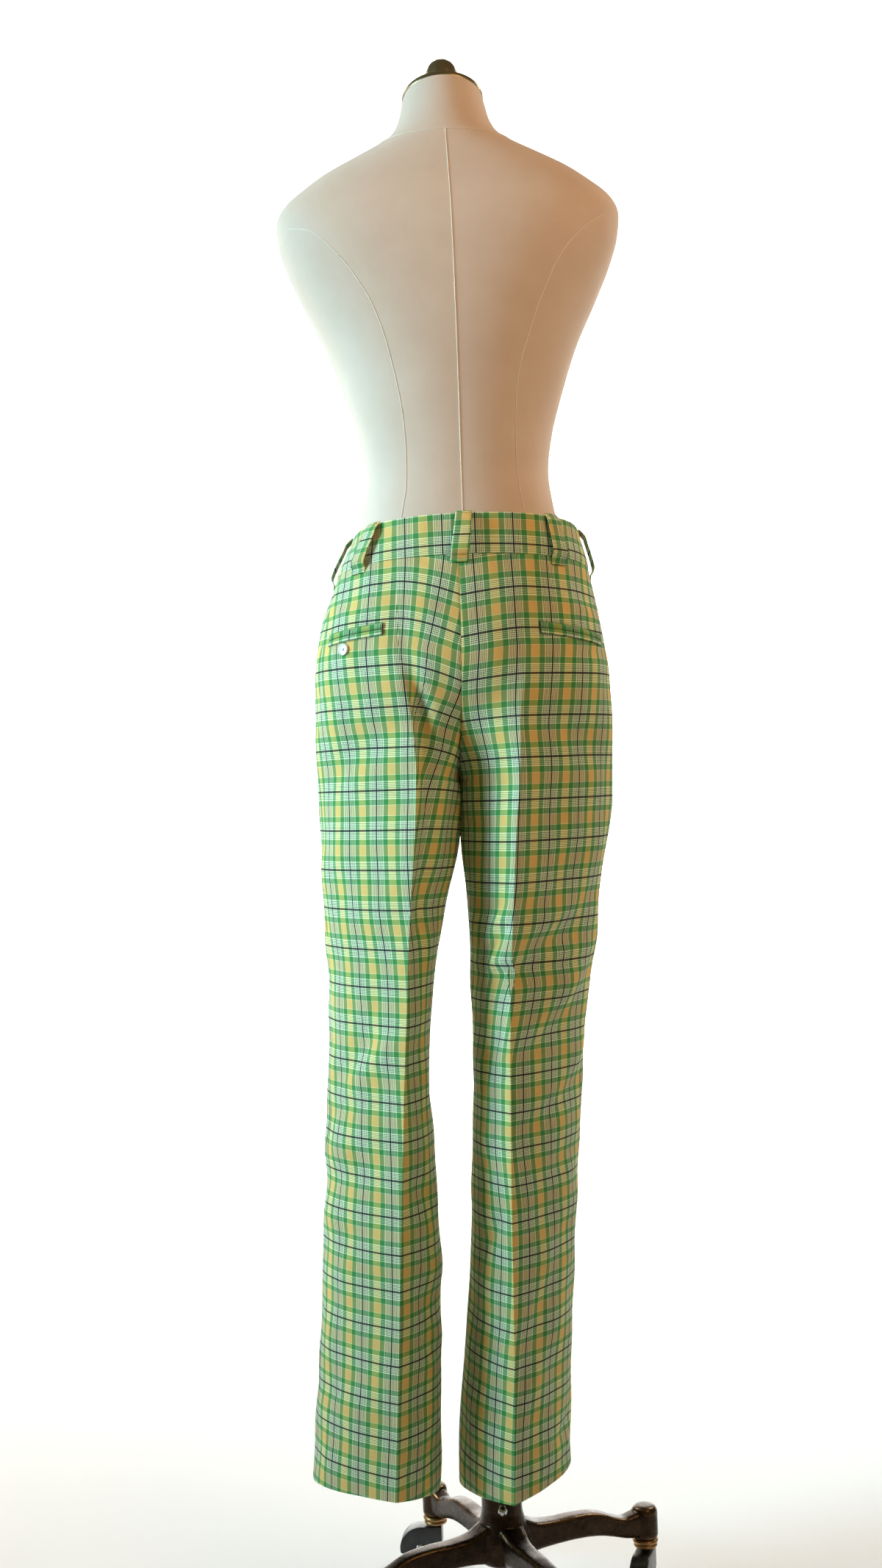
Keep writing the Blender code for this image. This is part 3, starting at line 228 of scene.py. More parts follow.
# A belt loop from its foot to its head: share of the band's height, millimetres above that,
# and share of the way from its sewn end to where it stands off
LOOP_PATH = (
    (0.0, -9.0, 0.0),
    (0.0, -5.0, 0.07),
    (0.0, -1.0, 0.51),
    (0.0, 4.0, 0.96),
    (0.5, 0.0, 1.0),
    (1.0, -7.0, 0.96),
    (1.0, -2.5, 0.40),
    (1.0, 0.5, 0.0),
)
# Belt loops: side, degrees round the waist from the centre back, and the plaid's shift on each
LOOPS = (
    (RIGHT, -1.3, 0.19, 0.305),
    (LEFT, 51.0, 0.44, 0.10),
    (RIGHT, 45.0, 0.52, 0.62),
    (LEFT, 92.0, 0.20, 0.45),
    (RIGHT, 92.0, 0.75, 0.25),
    (LEFT, 142.0, 0.35, 0.80),
    (RIGHT, 142.0, 0.60, 0.15),
)
# Bar tacks across both ends of a loop, this many rows of the grid in from each end
TACK_ROW = 3
TACK_STITCHES = 15
TACK_LIFT = 0.35 * MM
TACK_HALF_WIDTH = 0.55 * MM
TACK_THREAD = 0.28 * MM
BUTTON_THICKNESS = 2.6 * MM
POCKET_BUTTON_RADIUS = 6.5 * MM
WAIST_BUTTON_RADIUS = 8.0 * MM
BUTTON_THREAD = 0.32 * MM
WELT_WIDTH = 5.2 * MM
WELT_CLOTH = 1.2 * MM
WELT_LIFT = 0.45 * MM
WELT_CROWN = 0.5 * MM
WELT_COLUMNS = 90
# Sewing along the welts: points on each row, points in a stitch, and the tacks at both ends
STITCH_STEPS = 96
STITCH_POINTS = 3
STITCH_THREAD = 0.22 * MM
POCKET_TACK_STITCHES = 13
POCKET_TACK_THREAD = 0.26 * MM
SLIT_LIFT = 0.85 * MM
SLIT_RADIUS = 0.55 * MM
POCKET_COLUMNS = ("side", "inner_degrees", "inner_z", "outer_degrees", "outer_z")
POCKETS = (
    (LEFT, 30.0, 1101.0, 63.0, 1096.5),
    (RIGHT, 30.0, 1097.0, 70.0, 1088.0),
)
FLY_WIDTH = 36 * MM
FLY_FOOT = 1030 * MM
FLY_OVERLAP = 4 * MM
FLY_LIFT = 0.9 * MM
FLY_ROWS = 60

# The plaid: size of one repeat across and along the cloth
WARP_REPEAT = 41 * MM
WEFT_REPEAT = 44 * MM
# How far the nearest dark warp line lies from the back crease towards the centre, by height
GRAIN_COLUMNS = ("z", "shift")
GRAIN = {
    LEFT: (
        (160.0, 29.0), (255.0, 30.0), (370.0, 31.0), (565.0, 24.0), (645.0, 18.0), (765.0, 9.0),
        (810.0, 0.0), (950.0, -10.0), (1000.0, -6.0), (1170.0, 12.0), (1240.0, 15.0),
    ),
    RIGHT: (
        (160.0, 30.0), (296.0, 27.0), (375.0, 20.0), (450.0, 17.0), (570.0, 24.0), (650.0, 22.0),
        (710.0, 10.0), (757.0, 7.0), (800.0, 0.0), (940.0, 0.0), (1000.0, 5.0), (1170.0, 12.0),
        (1240.0, 14.0),
    ),
}
# The next such line on the inner half of the left back, whose cloth is held in towards the seat
LEANING_LINE = {
    (LEFT, BACK): (
        (160.0, -12.0), (255.0, -11.0), (370.0, -10.0), (565.0, -17.0), (645.0, -23.0), (765.0, -32.0),
        (810.0, -41.0), (858.0, -29.0), (928.0, -17.0), (978.0, 3.0), (998.0, 6.0), (1075.0, 30.5),
        (1170.0, 54.0), (1240.0, 56.0),
    ),
}
# The plaid's place along each half of the waistband, in repeats
BAND_SHIFT = {LEFT: 0.40, RIGHT: 0.55}
BAND_WEFT_SHIFT = -0.24
# Height on the crease and the weft line that lies there, counted downwards
WEFT = {
    LEFT: (
        (120.0, 20.1), (206.0, 18.0), (520.0, 10.0), (765.0, 4.0), (935.5, 0.0), (980.5, -1.0),
        (1066.6, -3.0), (1110.0, -4.0), (1145.5, -5.0), (1233.0, -7.0),
    ),
    RIGHT: (
        (120.0, 20.0), (200.7, 18.0), (510.0, 10.0), (740.0, 4.1), (920.1, 0.0), (965.0, -1.0),
        (1053.0, -3.0), (1097.0, -4.0), (1135.5, -5.0), (1223.0, -7.0),
    ),
}
# How much lower a weft line meets the centre back than the crease
CHEVRON_COLUMNS = ("z", "drop")
CHEVRON = {
    LEFT: (
        (780.0, 0.0), (850.0, 2.0), (890.0, 6.0), (950.0, 13.0), (1060.0, 19.0), (1110.0, 18.0),
        (1170.0, 14.0),
    ),
    RIGHT: (
        (180.0, -12.0), (320.0, -9.0), (520.0, 0.0), (920.0, 0.0), (960.0, 1.5), (1010.0, 4.0),
        (1060.0, 7.0), (1170.0, 7.5),
    ),
}

# Dress form, rings from the foot of the trunk to the neck
FORM_X = -6 * MM
FORM_COLUMNS = ("z", "half", "back", "front", "shift", "roundness")
FORM = (
    (1001.0, 112.0, 52.0, 50.0, 0.0, 2.3),
    (1005.0, 130.0, 66.0, 64.0, 0.0, 2.3),
    (1016.0, 143.0, 79.0, 77.0, 0.0, 2.3),
    (1036.0, 151.0, 91.0, 88.0, 0.0, 2.3),
    (1066.0, 154.0, 100.0, 95.0, 0.0, 2.3),
    (1100.0, 147.5, 102.0, 96.0, 0.0, 2.2),
    (1140.0, 137.0, 97.0, 94.0, 0.0, 2.2),
    (1180.0, 124.0, 90.0, 89.0, 0.0, 2.2),
    (1210.0, 113.8, 85.6, 87.8, 0.0, 2.2),
    (1249.0, 105.0, 81.0, 84.0, 0.0, 2.2),
    (1280.0, 101.5, 79.0, 84.0, 0.0, 2.2),
    (1323.0, 107.0, 82.0, 90.0, 0.0, 2.2),
    (1372.0, 121.0, 88.0, 102.0, 0.0, 2.2),
    (1421.0, 138.0, 94.0, 115.0, 0.0, 2.25),
    (1470.0, 161.0, 98.0, 118.0, 0.0, 2.3),
    (1510.0, 178.5, 98.0, 108.0, 0.0, 2.4),
    (1544.0, 188.5, 95.0, 96.0, 0.0, 2.5),
    (1569.0, 189.0, 89.0, 84.0, 0.0, 2.5),
    (1583.0, 181.0, 83.0, 76.0, 0.0, 2.4),
    (1600.0, 162.0, 76.0, 68.0, 1.0, 2.3),
    (1618.0, 137.0, 69.0, 62.0, 2.0, 2.2),
    (1634.0, 108.0, 63.0, 56.0, 4.0, 2.1),
    (1648.0, 82.0, 58.0, 52.0, 6.0, 2.0),
    (1660.0, 63.0, 54.0, 50.0, 8.0, 2.0),
    (1674.0, 53.0, 50.0, 49.0, 9.0, 2.0),
    (1690.0, 48.0, 48.0, 48.0, 10.0, 2.0),
    (1702.0, 45.0, 46.0, 46.0, 10.0, 2.0),
)
FORM_ROWS = 240
FORM_SEGMENTS = 180
NECK_TILT_FROM = 1648 * MM
NECK_TILT = math.radians(17)
CAP_RADIUS = 45.5 * MM
KNOB_RADIUS = 19.5 * MM
KNOB_TOP = 1755 * MM
# Corded seams of the cover: (z, x from the form's middle), on the back or the front
COVER_SEAMS = {
    "centre": ((1180.0, 3.0), (1400.0, 4.0), (1560.0, 3.0), (1652.0, 1.0)),
    "left": (
        (1180.0, -70.0), (1230.6, -62.0), (1256.0, -57.0), (1294.6, -55.0), (1347.0, -58.0),
        (1391.5, -66.0), (1431.0, -76.0), (1459.7, -87.0), (1489.0, -104.0), (1516.0, -124.0),
        (1540.0, -149.0), (1549.0, -174.0),
    ),
    "right": (
        (1180.0, 74.0), (1230.0, 70.0), (1256.0, 66.0), (1321.3, 64.0), (1381.5, 70.0),
        (1422.6, 83.0), (1468.0, 101.0), (1504.0, 120.0), (1529.0, 141.0), (1552.0, 171.0),
    ),
}
SEAM_CORD = 0.6 * MM
NECK_SEAM = 1652 * MM
SIDE_SEAM_ENDS = (1180 * MM, 1590 * MM)

# Stand
POLE_RADIUS = 8.0 * MM
TUBE_RADIUS = 12.5 * MM
TUBE_TOP = 452 * MM
COLLAR_RADIUS = 14.5 * MM
COLLAR_HEIGHT = 22 * MM
HUB_TOP = 155 * MM
HUB_RADIUS = 22.5 * MM
BOSS_AT = 183 * MM
BOSS_RADIUS = 15.0 * MM
BOSS_TOP = 98 * MM
BOSS_FOOT = 60.3 * MM
RING_FOOT = 50 * MM
RING_BORE = 5.2 * MM
# A turned profile starts this far from its axis
AXIS_HOLE = 0.5 * MM
ARM_AZIMUTHS = (25.0, 115.0, 205.0, 295.0)
# One arm of the casting: reach from the pole, height of its top and of its foot, width
ARM = (
    (8.0, 122.0, 76.0, 34.0),
    (24.0, 118.0, 76.0, 32.0),
    (38.0, 111.0, 78.0, 28.0),
    (60.0, 107.5, 79.0, 24.0),
    (90.0, 107.0, 79.0, 22.0),
    (120.0, 103.0, 76.0, 21.0),
    (142.0, 93.5, 70.0, 20.0),
    (154.0, 90.0, 66.0, 20.0),
    (166.0, 92.0, 64.0, 22.0),
    (178.0, 94.0, 64.0, 22.0),
)
SCREW_Z = 141 * MM
CASTING_VOXEL = 1.3 * MM

# Casters
WHEEL_RADIUS = 22 * MM
WHEEL_WIDTH = 15 * MM
WHEEL_TRAIL = 18 * MM
WHEEL_SIDES = 20
HOOD_RADIUS = 25.5 * MM
HOOD_WIDTH = 21 * MM
HOOD_SLOT = 15.6 * MM
HOOD_CLEARANCE = 1.2 * MM
HOOD_FRONT = 7.5 * MM
# Where each caster trails, in degrees from +X
CASTER_HEADINGS = (250.0, 175.0, 160.0, 20.0)

# Camera: level at hip height, two metres behind the form, a little rolled
CAMERA_AT = Vector((-37 * MM, -2.0, 0.94))
CAMERA_LENS = 41.2
CAMERA_ROLL = math.radians(2.2)
SENSOR = 36.0
# Paper sweep behind the form, in metres
SWEEP_NEAR = 9.0
SWEEP_FAR = 5.8
SWEEP_RADIUS = 1.6
SWEEP_HEIGHT = 5.0
SWEEP_HALF = 9.0


# Sections of the garment, worked out for whole arrays of points at once


def curve(xs, ys, x):
    """A smooth curve through the points (xs, ys), read at x; flat past the two ends."""
    xs, ys = np.asarray(xs, float), np.asarray(ys, float)
    slopes = np.gradient(ys, xs)
    x = np.clip(x, xs[0], xs[-1])
    i = np.clip(np.searchsorted(xs, x) - 1, 0, len(xs) - 2)
    span = xs[i + 1] - xs[i]
    t = (x - xs[i]) / span
    start = (2 * t**3 - 3 * t**2 + 1) * ys[i] + (t**3 - 2 * t**2 + t) * span * slopes[i]
    return start + (3 * t**2 - 2 * t**3) * ys[i + 1] + (t**3 - t**2) * span * slopes[i + 1]


def read_rows(table, columns, z):
    """Every column of a table at heights z, in metres."""
    rows = np.array(table, float)
    return {
        name: curve(rows[:, 0], rows[:, at], z / MM) * MM
        for at, name in enumerate(columns)
        if at > 0
    }


def smooth_step(low, high, x):
    t = np.clip((x - low) / (high - low), 0.0, 1.0)
    return t * t * (3 - 2 * t)


def body_point(side, turn, z):
    """A point of the hip ring: turn is the angle in radians from the centre back."""
    ring = read_rows(BODY, BODY_COLUMNS, z)
    power = 2 / BODY_ROUNDNESS
    across = np.abs(np.sin(turn)) ** power
    along = np.abs(np.cos(turn)) ** power
    depth = np.where(np.cos(turn) > 0, -ring["back"], ring["front"])
    return ring["centre"] + side * ring["half"] * across, depth * along


def crease_x(side, half, z):
    leg = read_rows(LEGS[side], LEG_COLUMNS, z)
    return leg["crease"] if half == BACK else leg["outer"] + leg["inner"] - leg["crease"]


def hip_turn(side, half, place, z):
    """The angle round the hips that a place from the centre seam (0) to the side seam (1) has."""
    seam = math.radians(SIDE_SEAM_DEGREES[side])
    ring = read_rows(BODY, BODY_COLUMNS, z)
    share = side * (crease_x(side, half, z) - ring["centre"]) / ring["half"]
    crease = np.arcsin(np.clip(share, 0.05, 0.8) ** (BODY_ROUNDNESS / 2))
    if half == FRONT:
        seam = math.pi - seam
    inner = crease * np.maximum(place - CROTCH_TURN, 0) / (CREASE_AT - CROTCH_TURN)
    outer = crease + (seam - crease) * (place - CREASE_AT) / (1 - CREASE_AT)
    turn = np.where(place < CREASE_AT, inner, outer)
    return turn if half == BACK else math.pi - turn


def hip_loop(side, half, place, z):
    """The trunk's half ring, with a flat inner wall on the centre plane."""
    x, y = body_point(side, hip_turn(side, half, place, z), z)
    return x, y * np.minimum(place / CROTCH_TURN, 1.0)


def leg_loop(side, half, place, z):
    """The leg's lens-shaped ring, from the inseam over the crease to the side seam."""
    leg = read_rows(LEGS[side], LEG_COLUMNS, z)
    middle = (leg["outer"] + leg["inner"]) / 2
    reach = np.abs(leg["outer"] - leg["inner"]) / 2
    lean = leg["crease"] - middle
    bulge = (reach + np.sqrt(np.maximum(reach**2 - lean**2, 0.0))) / 2
    inner = place < CREASE_AT
    along = np.where(inner, place / CREASE_AT, (1 - place) / (1 - CREASE_AT))
    wall = np.where(inner, -side, side)
    x = middle - half * lean * along + wall * bulge * (1 - along**2)
    return x, half * leg["depth"] * along


def seam_start(z):
    """The place where the panel's centre edge lies at height z: 0 below the crotch."""
    fall = np.clip((SEAT_TOP - z) / (SEAT_TOP - CROTCH), 0.0, 1.0)
    return CROTCH_TURN * (1 - fall**2.4) ** (1 / 2.4)


def fold_height(side, round_place, z):
    total = np.zeros(np.shape(z))
    for row in FOLDS + FINE_FOLDS:
        fold = dict(zip(FOLD_COLUMNS, row))
        if fold["side"] != side:
            continue
        across = (round_place - fold["round"]) * ROUND_LENGTH
        up = z - fold["z"] * MM
        slope = math.radians(fold["slope"])
        along = across * math.cos(slope) + up * math.sin(slope)
        off = up * math.cos(slope) - across * math.sin(slope)
        reach = (along / (fold["length"] * MM)) ** 2 + (off / (fold["width"] * MM)) ** 2
        total += fold["height"] * MM * np.exp(-reach)
    for round_rate, up_rate, phase, height in WAVES:
        angle = round_rate * round_place * ROUND_LENGTH / 0.25 + up_rate * z / 0.25 + phase * side
        total += height * MM * np.sin(angle)
    return total


def smooth_skin(side, half, across, z):
    """The outer face without folds. across runs from the centre edge (0) to the side seam (1)."""
    across, z = np.broadcast_arrays(np.asarray(across, float), np.asarray(z, float))
    start = seam_start(z)
    place = np.where(
        across < CREASE_AT, start + (CREASE_AT - start) * across / CREASE_AT, across
    )
    legness = 1 - smooth_step(LEG_FORM_WHOLE, LEG_FORM_TOP, z)
    hip_x, hip_y = hip_loop(side, half, place, z)
    leg_x, leg_y = leg_loop(side, half, place, z)
    x = hip_x + (leg_x - hip_x) * legness
    y = hip_y + (leg_y - hip_y) * legness
    meeting = smooth_step(CROTCH - MEETING_FADE, CROTCH, z)
    parting = SEAM_GAP / 2 + LEG_PARTING * np.maximum(CROTCH - z, 0.0)
    plane = read_rows(CENTRE, CENTRE_COLUMNS, z)["x"] + side * parting
    edge_hip = hip_loop(side, half, start, z)[0]
    edge_leg = leg_loop(side, half, start, z)[0]
    pull = (plane - (edge_hip + (edge_leg - edge_hip) * legness)) * meeting
    valley = 2 - smooth_step(CROTCH, CROTCH + VALLEY_RISE, z)
    inward = np.clip((place - start) / (CREASE_AT - start), 0.0, 1.0)
    pulled = x + pull * (1 - inward**valley) ** 2.5
    pulled = side * np.maximum(side * pulled, side * plane)
    x = np.where((meeting > 0) & (place < CREASE_AT), pulled, x)
    tilt = WAIST_TILT * smooth_step(SEAT_TOP, WAIST_SEAM, z)
    return np.stack([x, y, z - tilt * y], -1), place


def unit(vectors):
    length = np.linalg.norm(vectors, axis=-1, keepdims=True)
    return vectors / np.maximum(length, 1e-12)


def outward(side, half, across, z):
    """The outward normal of the smooth skin, from small steps inside its edges."""
    across, z = np.broadcast_arrays(np.asarray(across, float), np.asarray(z, float))
    step, rise = 0.002, 0.2 * MM
    low, high = np.maximum(across - step, 0.0), np.minimum(across + step, 1.0)
    above = np.where((z > CROTCH + rise) | (z + rise < CROTCH), z + rise, z)

    def skin(a, b):
        return smooth_skin(side, half, a, b)[0]

    along = skin(high, z) - skin(low, z)
    up = skin(across, above) - skin(across, z - rise)
    return unit(np.cross(along, up)) * -side * half


def panel_skin(side, half, across, z):
    """Points of a panel's outer face, folds and all, and its smooth outward normals."""
    points, place = smooth_skin(side, half, across, z)
    normals = outward(side, half, across, z)
    fade = smooth_step(0.0, 0.12, place - seam_start(z))
    round_place = place if half == BACK else 2 - place
    height = fold_height(side, round_place, z) * fade
    return points + normals * height[..., None], normals


def on_hip(side, half, degrees, z):
    """Points and normals of a panel's outer face at angles round the hips."""
    degrees, z = np.broadcast_arrays(np.asarray(degrees, float), np.asarray(z, float))
    low, high = np.zeros(z.shape), np.ones(z.shape)
    for _ in range(26):
        across = (low + high) / 2
        turn = hip_turn(side, half, smooth_skin(side, half, across, z)[1], z)
        reached = turn if half == BACK else math.pi - turn
        below = reached < np.radians(degrees)
        low, high = np.where(below, across, low), np.where(below, high, across)
    return panel_skin(side, half, across, z)


def band_point(side, turn, z):
    """The waist ring and its level outward direction; turn may pass the centre back."""
    turn, z = np.broadcast_arrays(np.asarray(turn, float), np.asarray(z, float))
    crossing = np.where(turn < 0, -1.0, 1.0)
    facing = side * crossing
    step = 0.01
    here = np.abs(turn)
    x, y = body_point(facing, here, z)
    ahead_x, ahead_y = body_point(facing, here + step, z)
    behind_x, behind_y = body_point(facing, np.abs(here - step), z)
    centre = read_rows(BODY, BODY_COLUMNS, z)["centre"]
    near = here <= step
    behind_x = np.where(near, 2 * centre - ahead_x, behind_x)
    behind_y = np.where(near, ahead_y, behind_y)
    along = unit(np.stack([ahead_x - behind_x, ahead_y - behind_y], -1))
    out = np.stack([along[..., 1], -along[..., 0], np.zeros(z.shape)], -1) * facing[..., None]
    return np.stack([x, y, z - WAIST_TILT * y], -1), out


def centre_turn(side, z):
    """The angle at which the waist ring crosses the centre plane, kept half a gap clear."""
    ring = read_rows(BODY, BODY_COLUMNS, z)
    plane = read_rows(CENTRE, CENTRE_COLUMNS, z)["x"] + side * SEAM_GAP / 2
    share = side * (plane - ring["centre"]) / ring["half"]
    return np.copysign(np.arcsin(np.abs(share) ** (BODY_ROUNDNESS / 2)), share)


# Meshes


def mesh_of(name, points, faces):
    mesh = bpy.data.meshes.new(name)
    mesh.from_pydata([tuple(map(float, p)) for p in points], [], [tuple(map(int, f)) for f in faces])
    mesh.validate()
    return mesh


def linked(name, data):
    """A new object in the scene."""
    made = bpy.data.objects.new(name, data)
    bpy.context.scene.collection.objects.link(made)
    return made


def place_piece(name, mesh, surface, body, replaced=(), smooth_degrees=38):
    """Puts a mesh that was worked out round the pole where the pole stands, on its body."""
    mesh.transform(Matrix.Translation((POLE_X, 0, 0)))
    piece = linked(name, mesh)
    mesh.materials.clear()
    mesh.materials.append(surface)
    mesh.shade_smooth()
    mesh.set_sharp_from_angle(angle=math.radians(smooth_degrees))
    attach(piece, body)
    if replaced:
        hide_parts(*replaced)
    return piece


def grain_layer(mesh, grain):
    """Stores the cloth's own coordinates, counted in repeats of the plaid."""
    layer = mesh.uv_layers.new(name="Grain")
    corner = np.zeros(len(mesh.loops), dtype=np.int32)
    mesh.loops.foreach_get("vertex_index", corner)
    layer.data.foreach_set("uv", np.asarray(grain, np.float32)[corner].ravel())


def grid_wall(name, outer, inner, grain):
    """A closed wall from two equal grids of points, with the cloth's coordinates."""
    rows, columns = outer.shape[:2]
    count = rows * columns
    index = np.arange(count).reshape(rows, columns)
    front = np.stack([index[:-1, :-1], index[1:, :-1], index[1:, 1:], index[:-1, 1:]], -1)
    front = front.reshape(-1, 4)
    back = (front + count)[:, ::-1]
    edge = np.concatenate([index[0], index[1:, -1], index[-1, -2::-1], index[-2:0:-1, 0]])
    after = np.roll(edge, -1)
    rim = np.stack([edge, after, after + count, edge + count], -1)
    faces = np.concatenate([front, back, rim])
    points = np.concatenate([outer.reshape(-1, 3), inner.reshape(-1, 3)])
    corners = points[faces]
    pairs = ((0, 1, 2), (0, 2, 3))
    volume = sum(
        np.einsum("ij,ij->i", corners[:, a], np.cross(corners[:, b], corners[:, c])).sum()
        for a, b, c in pairs
    )
    if volume < 0:
        faces = faces[:, ::-1]
    mesh = mesh_of(name, points, faces)
    flat = grain.reshape(-1, 2)
    grain_layer(mesh, np.concatenate([flat, flat]))
    return mesh


def row_lengths(points, start):
    """Distance along each row of a grid, measured from column start."""
    steps = np.linalg.norm(np.diff(points, axis=1), axis=-1)
    run = np.concatenate([np.zeros((len(points), 1)), np.cumsum(steps, axis=1)], 1)
    return run - run[:, start : start + 1]


def ring_faces(count, sides, closed=False):
    """Faces between rings of points, one after another, and over both ends unless closed."""
    faces = []
    for i in range(count if closed else count - 1):
        low, high = i * sides, (i + 1) % count * sides
        for k in range(sides):
            after = (k + 1) % sides
            faces.append((low + k, low + after, high + after, high + k))
    if not closed:
        faces.append(tuple(reversed(range(sides))))
        faces.append(tuple(range((count - 1) * sides, count * sides)))
    return faces


def faced_outwards(mesh):
    """The mesh with all its faces turned outwards."""
    shape = bmesh.new()
    shape.from_mesh(mesh)
    bmesh.ops.recalc_face_normals(shape, faces=shape.faces)
    shape.to_mesh(mesh)
    shape.free()
    return mesh


def tube_mesh(name, path, radius, sides=8, closed=False):
    """A round tube along a path of points, its ends closed."""
    path = np.asarray(path, float)
    ahead = np.roll(path, -1, 0) - np.roll(path, 1, 0)
    if not closed:
        ahead[0], ahead[-1] = path[1] - path[0], path[-1] - path[-2]
    tangent = unit(ahead)
    helper = np.array([0.0, 0.0, 1.0])
    if abs(tangent[0] @ helper) > 0.9:
        helper = np.array([0.0, 1.0, 0.0])
    aside = np.zeros_like(path)
    aside[0] = np.cross(tangent[0], helper)
    for i in range(1, len(path)):
        aside[i] = aside[i - 1] - tangent[i] * (aside[i - 1] @ tangent[i])
    aside = unit(aside)
    over = np.cross(tangent, aside)
    angles = np.arange(sides) * 2 * math.pi / sides
    ring = aside[:, None] * np.cos(angles)[:, None] + over[:, None] * np.sin(angles)[:, None]
    points = (path[:, None] + ring * radius).reshape(-1, 3)
    return mesh_of(name, points, ring_faces(len(path), sides, closed))


def lathe_mesh(name, profile, segments, closed=False):
    """A solid turned about Z. profile is (radius, z) from the foot up, or a closed ring."""
    profile = np.asarray(profile, float)
    angles = np.arange(segments) * 2 * math.pi / segments
    points = [
        (radius * math.cos(angle), radius * math.sin(angle), z)
        for radius, z in profile
        for angle in angles
    ]
    return mesh_of(name, points, ring_faces(len(profile), segments, closed))


def joined(name, meshes):
    """One mesh from several, which are used up."""
    shape = bmesh.new()
    for mesh in meshes:
        shape.from_mesh(mesh)
        bpy.data.meshes.remove(mesh)
    made = bpy.data.meshes.new(name)
    shape.to_mesh(made)
    shape.free()
    return made


def rounded_profile(corners, radius, steps=4):
    """A profile of (radius, z) corners with its inner corners rounded off."""
    corners = [np.array(c, float) for c in corners]
    made = [corners[0]]
    for before, corner, after in zip(corners, corners[1:], corners[2:]):
        back = min(radius, np.linalg.norm(before - corner) / 2.2)
        forth = min(radius, np.linalg.norm(after - corner) / 2.2)
        start = corner + unit(before - corner) * back
        end = corner + unit(after - corner) * forth
        for i in range(steps + 1):
            t = i / steps
            made.append((1 - t) ** 2 * start + 2 * t * (1 - t) * corner + t * t * end)
    made.append(corners[-1])
    return made


def bevel(width, segments, degrees):
    """A bevel along the edges that are sharper than some degrees, for evaluated()."""
    limit = {"limit_method": "ANGLE", "angle_limit": math.radians(degrees)}
    return "BEVEL", {"width": width, "segments": segments, **limit}


def evaluated(mesh, modifiers):
    """The mesh after some modifiers, given as (type, settings)."""
    made = linked("work", mesh)
    for kind, settings in modifiers:
        modifier = made.modifiers.new(kind, kind)
        for name, value in settings.items():
            setattr(modifier, name, value)
    graph = bpy.context.evaluated_depsgraph_get()
    result = bpy.data.meshes.new_from_object(made.evaluated_get(graph))
    bpy.data.objects.remove(made, do_unlink=True)
    bpy.data.meshes.remove(mesh)
    return result


# Materials


class Nodes:
    """Short calls for building a material's node tree."""

    def __init__(self, name, roughness, metallic=0.0):
        self.material = bpy.data.materials.new(name)
        self.material.use_nodes = True
        self.tree = self.material.node_tree
        self.shader = self.tree.nodes["Principled BSDF"]
        self.set("Roughness", roughness)
        self.set("Metallic", metallic)

    def set(self, socket, value):
        self.shader.inputs[socket].default_value = value

    def feed(self, socket, source):
        if isinstance(source, (int, float, tuple)):
            socket.default_value = source
        else:
            self.tree.links.new(source, socket)

    def math(self, operation, *values):
        node = self.tree.nodes.new("ShaderNodeMath")
        node.operation = operation
        for socket, value in zip(node.inputs, values):
            self.feed(socket, value)
        return node.outputs[0]

    def mix(self, share, first, second, blend="MIX"):
        node = self.tree.nodes.new("ShaderNodeMix")
        node.data_type = "RGBA"
        node.blend_type = blend
        self.feed(node.inputs["Factor"], share)
        self.feed(node.inputs["A"], first)
        self.feed(node.inputs["B"], second)
        return node.outputs["Result"]

    def ramp(self, source, stops, interpolation="LINEAR"):
        node = self.tree.nodes.new("ShaderNodeValToRGB")
        ramp = node.color_ramp
        ramp.interpolation = interpolation
        ramp.elements.remove(ramp.elements[1])
        ramp.elements[0].position, ramp.elements[0].color = stops[0]
        for place, colour in stops[1:]:
            ramp.elements.new(place).color = colour
        self.feed(node.inputs[0], source)
        return node.outputs[0]

    def object_place(self):
        return self.tree.nodes.new("ShaderNodeTexCoord").outputs["Object"]

    def noise(self, place, scale, detail=3.0, roughness=0.5):
        node = self.tree.nodes.new("ShaderNodeTexNoise")
        self.feed(node.inputs["Vector"], place)
        node.inputs["Scale"].default_value = scale
        node.inputs["Detail"].default_value = detail
        node.inputs["Roughness"].default_value = roughness
        return node.outputs["Fac"]

    def bump(self, height, distance, strength=1.0, below=None):
        node = self.tree.nodes.new("ShaderNodeBump")
        node.inputs["Strength"].default_value = strength
        node.inputs["Distance"].default_value = distance
        self.feed(node.inputs["Height"], height)
        if below is not None:
            self.feed(node.inputs["Normal"], below)
        return node.outputs["Normal"]

    def colour(self, source):
        self.feed(self.shader.inputs["Base Color"], source)

    def normal(self, source):
        self.feed(self.shader.inputs["Normal"], source)


def rgb(red, green, blue):
    """A colour given as it looks on a screen, 0 to 255, turned into light values."""
    shares = (value / 255 for value in (red, green, blue))
    linear = (s / 12.92 if s <= 0.04045 else ((s + 0.055) / 1.055) ** 2.4 for s in shares)
    return (*linear, 1.0)


BLACK, WHITE = (0, 0, 0, 1), (1, 1, 1, 1)

# Yarns of the plaid
CREAM_YARN = rgb(236, 246, 204)
PINE_YARN = rgb(26, 78, 42)
GREEN_YARN = rgb(68, 138, 70)
YELLOW_YARN = rgb(236, 214, 118)
GOLD_YARN = rgb(200, 172, 112)
NAVY_YARN = rgb(14, 18, 46)
UMBER_YARN = rgb(28, 24, 30)
CROSSING = rgb(232, 168, 88)
FINE_YARN = 0.9
DARK_WARP, DARK_WEFT = 0.85, 1.2
FINE_PAIRS = 4
GREEN_BAND = 6.1
LIGHT_LINE = 0.9
# How much further the close-set green yarns cover what they cross
GREEN_COVER = 0.32


